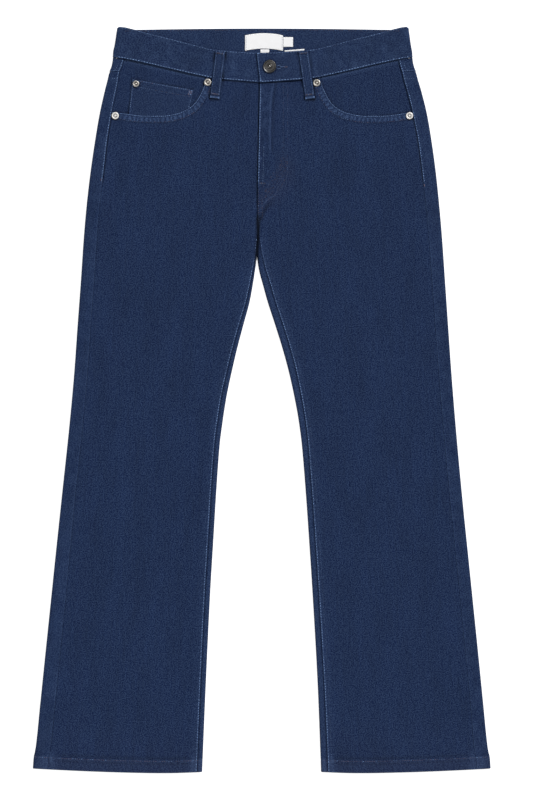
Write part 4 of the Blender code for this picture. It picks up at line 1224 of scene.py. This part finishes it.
def label_sheet(left, right, low, high, arch=0.0, slope=0.0):
    share = np.concatenate([[0, 0.01, 0.03], np.linspace(0.06, 0.94, 22), [0.97, 0.99, 1]])[None, :]
    level = np.concatenate([[0, 0.02, 0.05], np.linspace(0.1, 0.9, 12), [0.95, 0.98, 1]])[:, None]
    x = left + (right - left) * share + 0 * level
    y = low + (high - low) * level + arch * (1 - (2 * share - 1) ** 2) + slope * (x - left)
    sheet = Sheet(x, y, floor_level(x, y) + BAND_WALL + GAP + TAPE, TAPE)
    sheet.round_edges(0.2)
    return sheet


def pocket_corners(side):
    return np.array([(side * across + centre_line(850), high) for across, high in BACK_POCKET])


def pocket_sheet(side):
    """A back pocket, as a grid between its two sides."""
    inner_top, inner_low, point, outer_low, outer_top = pocket_corners(side)
    share = np.linspace(0, 1, 41)
    split = abs(point[0] - inner_low[0]) / abs(outer_low[0] - inner_low[0])
    top = inner_top + (outer_top - inner_top) * share[:, None]
    low_x = inner_low[0] + (outer_low[0] - inner_low[0]) * share
    low_y = np.interp(share, [0, split, 1], [inner_low[1], point[1], outer_low[1]])
    level = np.linspace(0, 1, 41)[:, None]
    x = low_x + (top[:, 0] - low_x) * level
    y = low_y + (top[:, 1] - low_y) * level
    sheet = Sheet(x, y, THIN + 0 * x, THIN)
    sheet.round_edges(0.35)
    return sheet


# The legs' grain leans with them, and no two pieces are cut from the same place
LEAN = 0.055
for side, name in SIDES:
    back, yoke, facing = f"cloth_back_{name}", f"cloth_yoke_{name}", f"cloth_facing_{name}"
    pocket = f"cloth_back_pocket_{name}"
    shell(back_sheet(side), back, [f"back_panel_{name}"], "denim",
          (side * 2.7, 0.9), -LEAN * side)
    shell(yoke_sheet(side), yoke, [f"yoke_{name}"], "denim", (side * 4.1, 0.2))
    shell(facing_sheet(side), facing, [f"pocket_facing_{name}"], "denim", (side * 5.3, 0.7))
    shell(front_sheet(side), f"cloth_front_{name}", [f"front_panel_{name}"], "denim",
          (side * 1.3, 0.4), -LEAN * side)
    shell(pocket_sheet(side), pocket, [f"back_pocket_{name}"], "denim_trim", (side * 6.1, 0.1))
shell(coin_sheet(), "cloth_coin_pocket", ["coin_pocket"], "denim_trim", (7.3, 0.3))
shell(shield_sheet(), "cloth_fly_shield", ["fly_shield"], "denim", (8.2, 0.3))
shell(felled_seam_sheet(), "cloth_felled_seam", [], "denim", (8.9, 0.1))
shell(band_sheet(), "cloth_waistband", ["waistband"], "denim_trim", (9.4, 0.6), anchor=20)
for name, *ends in FRONT_LOOPS:
    shell(loop_sheet(*ends), f"cloth_{name}", [name], "denim_trim", (10.5, 0.2))
for name, place in BACK_LOOPS:
    shell(back_loop_sheet(place), f"cloth_{name}", [name], "denim_trim", (11.5, 0.2))
for name, tape in (
    ("main_label", label_sheet(*LABEL, arch=LABEL_ARCH)), ("size_tab", label_sheet(*SIZE_TAB)),
    ("lower_tab", label_sheet(*LOWER_TAB)), ("care_label", label_sheet(*CARE_LABEL, slope=CARE_SLOPE)),
):
    shell(tape, f"tape_{name}", [name], "label", (0.0, 0.0))


# Sewing
def surface(spot, targets, under=False):
    """The cloth's level at a place, seen from above or from below, or None beside it."""
    start = Vector((spot[0] * MM, (spot[1] - MIDDLE_HEIGHT) * MM, -0.02 if under else 0.05))
    towards = Vector((0, 0, 1 if under else -1))
    hits = [made_pieces[name].ray_cast(start, towards) for name in targets]
    levels = [place.z / MM for hit, place, _, _ in hits if hit]
    return (min if under else max)(levels, default=None)


def chance(*numbers):
    """An even value from 0 to 1 that is always the same for the same numbers."""
    value = sum(number * weight for number, weight in zip(numbers, (12.9898, 78.233, 37.719, 4.581)))
    return math.sin(value) * 43758.5453 % 1.0


# A stitch's form: place along it, width and lift
STITCH_FORM = [
    (0.0, 0.45, -0.35), (0.14, 0.85, 0.45), (0.5, 1.0, 1.0), (0.86, 0.85, 0.45), (1.0, 0.45, -0.35),
]


class Sewing:
    """Many small stitches, joined into one piece."""

    def __init__(self, name):
        self.name = name
        self.points, self.faces, self.tones, self.rusts = [], [], [], []

    def stitch(self, a, b, width, lift, tone, rust, under=False):
        """One stitch between two points of the cloth, bowed up and dipping in at its ends."""
        a, b = Vector(a), Vector(b)
        along = b - a
        if along.length < 0.2:
            return
        aside = Vector((-along.y, along.x, 0)).normalized() * width / 2
        up = Vector((0, 0, -1 if under else 1))
        first = len(self.points)
        for share, wide, high in STITCH_FORM:
            centre = a + along * share + up * (0.06 * high - 0.1 if under else lift * high)
            for turn in range(6):
                angle = math.pi * turn / 3
                rim = centre + aside * wide * math.cos(angle) + up * width * 0.36 * wide * math.sin(angle)
                self.points.append(rim)
        for ring in range(4):
            for turn in range(6):
                low, high = first + ring * 6 + turn, first + ring * 6 + (turn + 1) % 6
                self.faces.append((low, high, high + 6, low + 6))
        self.faces.append(tuple(first + i for i in range(5, -1, -1)))
        self.faces.append(tuple(first + 24 + i for i in range(6)))
        self.tones += [tone] * 30
        self.rusts += [rust] * 30

    def lay(self, p, q, targets, width, lift, tone, rust, under, steepest):
        """A stitch between two places, lifted over the cloth between them."""
        low, high, middle = (surface(spot, targets, under) for spot in (p, q, (p + q) / 2))
        if None in (low, high, middle) or abs(low - high) >= steepest:
            return
        rest = max((-1 if under else 1) * (middle - (low + high) / 2), 0.0)
        self.stitch((*p, low), (*q, high), width, lift + rest, tone, rust, under)

    def row(self, line, targets, pitch=3.1, width=0.62, tone=0.5, rust=0.0, seed=1.0, spread=0.35,
            under=False, end=math.inf):
        """A row of stitches along a line of places on the cloth."""
        line = line if isinstance(line, Line) else Line(line)
        number, place = 0, 0.0
        while place + pitch * 0.8 < min(end, line.start[-1]):
            number += 1
            p, q = line.at(place + 0.12 * pitch), line.at(place + 0.7 * pitch)
            aside = np.array([(p - q)[1], (q - p)[0]]) / np.hypot(*(q - p))
            drift = (chance(number, seed, 3.0) - 0.5) * 0.2 * aside
            tone_shift = math.sin(number * 0.61 + seed) + math.sin(number * 0.23 + seed * 2.7)
            shade = tone + (chance(number, seed, 7.0) - 0.5) * 2 * spread + 0.14 * tone_shift
            brown = float(chance(number, seed, 11.0) < rust)
            size = width * (0.85 + 0.3 * chance(number, seed, 5.0))
            self.lay(p + drift, q + drift * 0.6, targets, size, 0.16, shade, brown, under, 1.2)
            place += pitch

    def bartack(self, centre, towards, length, width, targets, tone=0.4, rust=0.8, under=False, seed=1.0):
        """A short dense bar of zigzag stitches."""
        towards = np.array(towards, float) / np.hypot(*towards)
        half = np.array([-towards[1], towards[0]]) * width / 2 + towards * 0.25
        count = max(3, int(length / 0.62))
        for i in range(count):
            at = np.array(centre, float) + towards * ((i + 0.5) / count - 0.5) * length
            shade = tone + (chance(i, seed, 7.0) - 0.5) * 0.5
            brown = float(chance(i, seed, 13.0) < rust)
            self.lay(at - half, at + half, targets, 0.55, 0.28, shade, brown, under, math.inf)

    def finish(self):
        points = placed(*np.array(self.points).T)
        mesh = new_mesh(self.name, points, self.faces, {"tone": self.tones, "rust": self.rusts})
        work = bmesh.new()
        work.from_mesh(mesh)
        bmesh.ops.recalc_face_normals(work, faces=work.faces)
        work.to_mesh(mesh)
        work.free()
        dressed(mesh, THREAD)


def path(x, height):
    return np.stack([x + 0 * height, height + 0 * x], axis=1)


def risen(side, x, height):
    """A path on the leg, which follows the hem's curve."""
    return path(x, height + hem_rise(side, x, height))


def front_path(side, from_seam, low, high):
    """A line up the front panel at a distance from the inseam or fly."""
    height = np.arange(low, high, 4.0)
    return risen(side, front_point(side, front_span(side, height)[0] + from_seam, height)[0], height)


def back_path(side, from_side, low, high):
    """A line up the back's edge on top, outside the side seam."""
    height = np.arange(low, high, 4.0)
    return risen(side, side_seam(side, height) + side * from_side, height)


def hem_path(side):
    """The hem's row of sewing."""
    x = np.linspace(outer_edge[side](15.4) - side * 2, inner_edge(side, 15.4) + side * 2, 60)
    return risen(side, x, 15.4 + 0 * x)


def beside(line, offset):
    """A line at a distance from another one."""
    step = np.gradient(line.points, axis=0)
    step = step / np.hypot(*step.T)[:, None]
    return line.points + np.stack([-step[:, 1], step[:, 0]], axis=1) * offset


def sew_legs():
    for side, name in SIDES:
        front, back, yoke_name = f"cloth_front_{name}", f"cloth_back_{name}", f"cloth_yoke_{name}"
        sewing = Sewing(f"thread_leg_{name}")
        bold = {"width": 0.78, "spread": 0.5}
        sewing.row(front_path(side, 1.9, 1, 694), [front], tone=0.82, seed=side + 2, pitch=3.7, **bold)
        sewing.row(front_path(side, 1.9, 694, 738), [front], tone=0.3, seed=side + 2.5, width=0.58,
                   spread=0.5, pitch=3.7)
        if side > 0:
            sewing.row(front_path(side, 6.5, 1, 715), [front], tone=0.05, seed=side + 3, spread=0.2,
                       width=0.45)
        sewing.row(hem_path(side), [front, back], tone=0.36, rust=0.7, seed=side + 4, width=0.55,
                   pitch=3.0, spread=0.5)
        sewing.row(back_path(side, 1.3, 812, 981), [back, yoke_name], tone=0.85, seed=side + 5,
                   pitch=3.5, **bold)
        sewing.row(back_path(side, 6.2, 965, 980), [yoke_name], tone=0.2, seed=side + 6)
        foot = (float(side_seam(side, 812)) + side * 1.5, 815.0 if side < 0 else 807.5)
        sewing.bartack(foot, (0.1 * side, -1), 3.4, 1.3, [back, front], rust=1.0, tone=0.9)
        for offset, tone in ((1.3, 0.6), (-9.6, 0.55)):
            height = YOKE_SIDE + offset
            x = np.linspace(side_seam(side, height) + side * 0.6, outer_edge[side](height) - side * 2.4, 8)
            sewing.row(path(x, height), [yoke_name, back], tone=tone, seed=side + offset, width=0.65)
        # Pocket mouth
        for offset, tone, rust, width in ((0.95, 0.75, 0.0, 0.75), (8.8, 0.35, 0.5, 0.55)):
            sewing.row(beside(pocket_mouth[side], -side * offset), [front], tone=tone, rust=rust, width=width,
                       seed=side + offset, pitch=2.8, spread=0.45)
        sewing.finish()


def sew_fly():
    sewing = Sewing("thread_fly")
    front = ["cloth_front_left"]
    sewing.row(front_path(1, 1.3, 812, 948), front, tone=1.0, width=0.95, seed=21, spread=0.5, pitch=3.8)
    sewing.row(front_path(1, 7.2, 812, 868), front, tone=0.55, width=0.65, seed=22)
    sewing.row(front_path(1, 1.5, 756, 806), front, tone=0.12, rust=0.6, width=0.5, seed=23)
    sewing.row(front_path(1, 6.3, 762, 800), front, tone=0.12, rust=0.6, width=0.5, seed=24)
    for offset, seed in ((0.6, 25), (-5.4, 26)):
        sewing.row(beside(fly_sewing, offset), front, tone=0.0, rust=0.3, width=0.42, seed=seed,
                   spread=0.4, pitch=2.7)
    # Rust-brown flecks of thread where the rows turn in under the fly's foot
    for number in range(190):
        place = 100 + 74 * chance(number, 1.0, 41.0)
        spot = fly_sewing.at(place)
        towards = fly_sewing.at(place + 1.3) - spot
        aside = np.array([-towards[1], towards[0]]) / np.hypot(*towards)
        depth = (26 * chance(number, 2.0, 42.0) - 3) * (0.35 + 0.65 * min((place - 100) / 40, 1))
        at = spot - aside * depth
        low, high = surface(at, front), surface(at + towards, front)
        if low is not None and high is not None and abs(low - high) < 0.6:
            tone = 0.28 * chance(number, 3.0, 43.0) - 0.1
            rust = float(chance(number, 4.0, 44.0) < 0.6)
            sewing.stitch((*at, low), (*(at + towards), high), 0.45, 0.12, tone, rust)
    sewing.bartack((1.0, 810), (1, 0), 8, 1.8, front, tone=0.2, rust=0.6)
    sewing.finish()


def sew_seam_tail():
    """The thread ends of the crotch seam, under the folds where the two legs are pressed together."""
    sewing = Sewing("thread_seam_tail")
    for strand, seed in ((-0.3, 1), (0.0, 2), (0.3, 3)):
        height = 703.5 + seed * 0.4
        while height < 742:
            aside = strand * (0.4 + 0.6 * float(rise(height, 700, 714)))
            ends = [(float(centre_line(level)) + aside, level, 0.3) for level in (height, height + 7)]
            sewing.stitch(*ends, 0.75, 0.05, -0.3, 0.0)
            height += 3.4
    sewing.finish()


def sew_coin_pocket():
    sewing = Sewing("thread_coin_pocket")
    target = ["cloth_coin_pocket"]
    (outer_at, outer_high, outer_lean), (inner_at, inner_high, inner_lean) = COIN

    def spot(share, down):
        start, end = outer_at + down * outer_lean, inner_at + down * inner_lean
        return (MIDDLE - start - (end - start) * share, outer_high + (inner_high - outer_high) * share - down)

    for down, tone, rust in ((1.1, 0.6, 0.1), (9.5, 0.25, 0.5)):
        line = smooth_line([spot(share, down) for share in (0.01, 0.3, 0.6, 0.99)])
        sewing.row(line, target, tone=tone, rust=rust, seed=down, width=0.55, pitch=2.9)
    for share, tone, end in ((0.014, 0.5, math.inf), (0.985, 0.3, 31)):
        line = smooth_line([spot(share, down) for down in (2, 14, 28, 40)])
        sewing.row(line, target, tone=tone, seed=share * 40, width=0.55, pitch=2.9, end=end)
    x, y = spot(0.955, 4.5)
    for shift, tone, rust in ((-1.3, 0.7, 0.9), (1.3, 0.95, 0.4)):
        sewing.bartack((x + shift, y), (0.35, 1), 6.0, 1.8, target, tone=tone, rust=rust, seed=shift)
    sewing.finish()


def sew_waistband():
    sewing = Sewing("thread_waistband")
    target = ["cloth_waistband"]
    for side, _ in SIDES:
        for edge, offset, tone, width in ((band_seam, 1.5, 0.95, 0.95), (band_edge, -1.3, 0.5, 0.62)):
            across = np.linspace(4.6 if side > 0 else 8.4, 203, 80)
            if side > 0:
                across = np.concatenate([np.linspace(-6.5, 4, 6), across])
            line = path(MIDDLE + side * across, edge(np.abs(across)) + offset)
            sewing.row(line, target, tone=tone, width=width, seed=side * 3 + offset, pitch=3.9, spread=0.5)
    height = np.linspace(950, 988, 12)
    sewing.row(path(centre_line(height) + 1.2, height), target, tone=0.62, width=0.7, seed=31)
    # Inside of the back waistband, just under its top edge
    x = np.linspace(-188, 192, 110)
    inside = Sewing("thread_waistband_inside")
    inside.row(path(x, back_top(x) - 2.3), target, tone=0.12, rust=0.7, width=0.55, seed=32)
    inside.row(path(x, back_top(x) - 2.3), target, tone=0.4, width=0.6, seed=33, under=True)
    inside.row(path(x, WAIST_BACK + 1.8), target, tone=0.6, width=0.7, seed=34, under=True)
    inside.finish()
    # Buttonhole: a bound eye beside the button, a stitch of its slit and the bar at its end
    eye_x, eye_y = HOLE_PLACE
    turn = np.linspace(-0.86, 0.86, 23) * math.pi
    eye = path(eye_x + 3.4 * np.cos(turn), eye_y + 2.0 * np.sin(turn))
    sewing.row(eye, target, tone=0.95, width=0.62, pitch=1.7, seed=35, spread=0.25)
    slit = [(eye_x + 3.6, eye_y + 0.4), (eye_x + 8.6, eye_y + 0.6)]
    sewing.row(slit, target, tone=0.95, width=0.75, pitch=2.2, seed=36)
    sewing.bartack((33.2, 969.6), (1, 0.04), 5.4, 1.5, target, tone=0.3, rust=0.9)
    # The band's end is sewn over at both corners
    sewing.bartack((-4.6, 988.0), (1, 0.2), 2.8, 2.0, target, tone=1.1, rust=0)
    sewing.bartack((-1.0, 951.2), (1, 0.1), 2.4, 1.6, target, tone=1.0, rust=0)
    sewing.finish()
    tape = Sewing("thread_label")
    low, high = LABEL[2] + 1, LABEL[3] - 0.6
    for x in (LABEL[0] + 1.5, LABEL[1] - 1.2):
        line = smooth_line([(x, low), (x, (low + high) / 2), (x, high)])
        tape.row(line, ["tape_main_label"], tone=0.0, width=0.5, pitch=2.3, seed=x, spread=0.2)
    tape.finish()


def sew_loops():
    sewing = Sewing("thread_loops")
    for name, top_x, top_y, foot_x, foot_y in FRONT_LOOPS:
        target = [f"cloth_{name}"]
        top, foot = np.array([top_x, top_y]), np.array([foot_x, foot_y])
        lean = (top - foot) / np.hypot(*(top - foot))
        aside = np.array([lean[1], -lean[0]])
        for offset in (-4.9, 4.9):
            points = [at + aside * offset for at in (foot + lean * 6.2, (top + foot) / 2, top - lean * 1.2)]
            sewing.row(smooth_line(points), target, seed=top_x + offset, width=0.55, pitch=2.8, spread=0.6)
        for at in (foot + lean * 6.0, top - lean * 3.0):
            sewing.bartack(at, aside, 10.6, 1.7, target, tone=0.28, rust=0.6, seed=at[0])
    for name, place in BACK_LOOPS:
        target = [f"cloth_{name}"]
        for offset in (-4.7, 4.7):
            line = smooth_line([(place + offset, height) for height in (930, 970, 1019)])
            sewing.row(line, target, tone=0.45, seed=place + offset, width=0.6, under=True)
        for height in (931, 1017):
            sewing.bartack((place, height), (1, 0), 10.6, 1.7, target, under=True)
    sewing.finish()


def sew_seat():
    """The underside: yokes, centre seam, back pockets and hems."""
    sewing = Sewing("thread_seat")
    usual = {"width": 0.65, "under": True}
    for side, name in SIDES:
        back, yoke_name, pocket = f"cloth_back_{name}", f"cloth_yoke_{name}", f"cloth_back_pocket_{name}"
        share = np.linspace(0.02, 0.985, 70)
        height = YOKE_SIDE - YOKE_DROP * share
        start, end = outer_edge[side](height) - side * 2.8, inner_edge(side, height) + side * 3
        for offset in (-1.8, -8.0):
            line = path(start + (end - start) * share, height + offset)
            sewing.row(line, [back], seed=side + offset, **usual)
        height = np.arange(762, 980, 4.0)
        for offset in ((1.8, 8.0) if side > 0 else ()):
            sewing.row(path(centre_line(height) + offset, height), [back, yoke_name], seed=offset, **usual)
        sewing.row(hem_path(side), [back], tone=0.4, rust=0.35, seed=side + 9, width=0.6, under=True)
        corners = pocket_corners(side)
        pull = corners.mean(axis=0) - corners
        pull = pull / np.hypot(*pull.T)[:, None]
        for inset in (2.2, 8.4):
            sewing.row(corners + pull * inset * 1.35, [pocket], seed=side + inset, **usual)
        for down in (2.0, 14.0):
            sewing.row(corners[[0, -1]] - (0, down), [pocket], seed=side + down, **usual)
    sewing.finish()


sew_legs()
sew_fly()
sew_seam_tail()
sew_coin_pocket()
sew_waistband()
sew_loops()
sew_seat()

# Metal pieces: radius, height over the foot, and how dark the hollow is there
BUTTON_FINE = [
    (3.0, 2.1, 0.8), (3.1, 2.3, 0.8), (8.0, 2.3, 0.8), (8.45, 2.45, 0.4), (8.72, 2.8, 0.2), (8.8, 3.2, 0.1),
    (8.76, 3.7, 0), (8.55, 4.15, 0), (8.2, 4.45, 0), (7.8, 4.58, 0), (7.45, 4.5, 0.1), (7.2, 4.3, 0.6),
    (7.0, 4.16, 0.9), (6.75, 4.14, 0.7), (6.5, 4.26, 0.2), (6.2, 4.34, 0), (5.4, 4.24, 0), (4.4, 4.1, 0.1),
    (3.7, 4.0, 0.4), (3.4, 4.04, 0.6), (3.1, 4.3, 0.1), (2.8, 4.5, 0), (2.5, 4.52, 0), (2.25, 4.36, 0.3),
    (2.05, 4.05, 0.9), (1.8, 3.86, 1), (1.5, 3.84, 0.9), (1.2, 4.05, 0.3), (0.9, 4.34, 0), (0.5, 4.5, 0),
]
RIVET_FINE = [
    (4.6, 0.0, 0.8), (4.82, 0.12, 0.5), (4.92, 0.35, 0.2), (4.88, 0.62, 0), (4.7, 0.85, 0), (4.4, 0.98, 0),
    (4.0, 1.02, 0), (3.5, 1.0, 0), (3.1, 0.92, 0), (2.85, 0.76, 0.3), (2.6, 0.5, 0.8), (2.35, 0.38, 1),
    (2.0, 0.36, 1), (1.75, 0.42, 0.8), (1.55, 0.68, 0.2), (1.35, 0.98, 0), (1.1, 1.16, 0), (0.7, 1.26, 0),
    (0.35, 1.3, 0),
]


def turned(node, profile, segments, finish, slot, tilt=(0.0, 0.0), size=1.0, highlight_strength=0.0):
    """A round metal piece on the same seat as its node, with a painted highlight on the rim's lower left and
    on its centre nub where asked.
    """
    low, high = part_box(node)
    centre = Vector(((low[0] + high[0]) / 2, (low[1] + high[1]) / 2, low[2]))
    work = bmesh.new()
    layer = work.verts.layers.float.new("darkening")
    rings = []
    for radius, height, darkening in profile:
        ring = []
        for i in range(segments):
            turn = 2 * math.pi * i / segments
            x, y = size * radius * math.cos(turn), size * radius * math.sin(turn)
            lean = x * tilt[0] + y * tilt[1] + 6 * tilt[0] if height > 0.2 else 0.0
            ring.append(work.verts.new(centre + Vector((x, y, height + lean)) * MM))
            # Painted highlight: a crescent on the rim's lower left and a spot on the centre nub
            painted_glint = 0.0
            if radius > 7.6 and height > 3:
                painted_glint = highlight_strength * math.exp(-((turn / math.pi - 1.22) / 0.17) ** 2)
            elif radius < 1.3 and height > 4:
                painted_glint = 0.5 * highlight_strength
            ring[-1][layer] = darkening * (1 - min(painted_glint, 1.0)) - painted_glint
        rings.append(ring)
    for low_ring, high_ring in zip(rings, rings[1:]):
        for i in range(segments):
            j = (i + 1) % segments
            work.faces.new((low_ring[i], low_ring[j], high_ring[j], high_ring[i]))
    work.faces.new(rings[0][::-1])
    work.faces.new(rings[-1])
    bmesh.ops.recalc_face_normals(work, faces=work.faces)
    mesh = bpy.data.meshes.new(f"metal_{node}")
    work.to_mesh(mesh)
    work.free()
    dressed(mesh, finish, [node], sharp=55)


turned("button", BUTTON_FINE, 72, GUNMETAL, "button_metal", tilt=(0.04, 0.042), highlight_strength=0.9)
for node in RIVETS:
    plating = BRIGHT_NICKEL if "outer" in node else NICKEL
    turned(node, RIVET_FINE, 40, plating, "rivet_metal", size=0.9 if "coin" in node else 1.0)
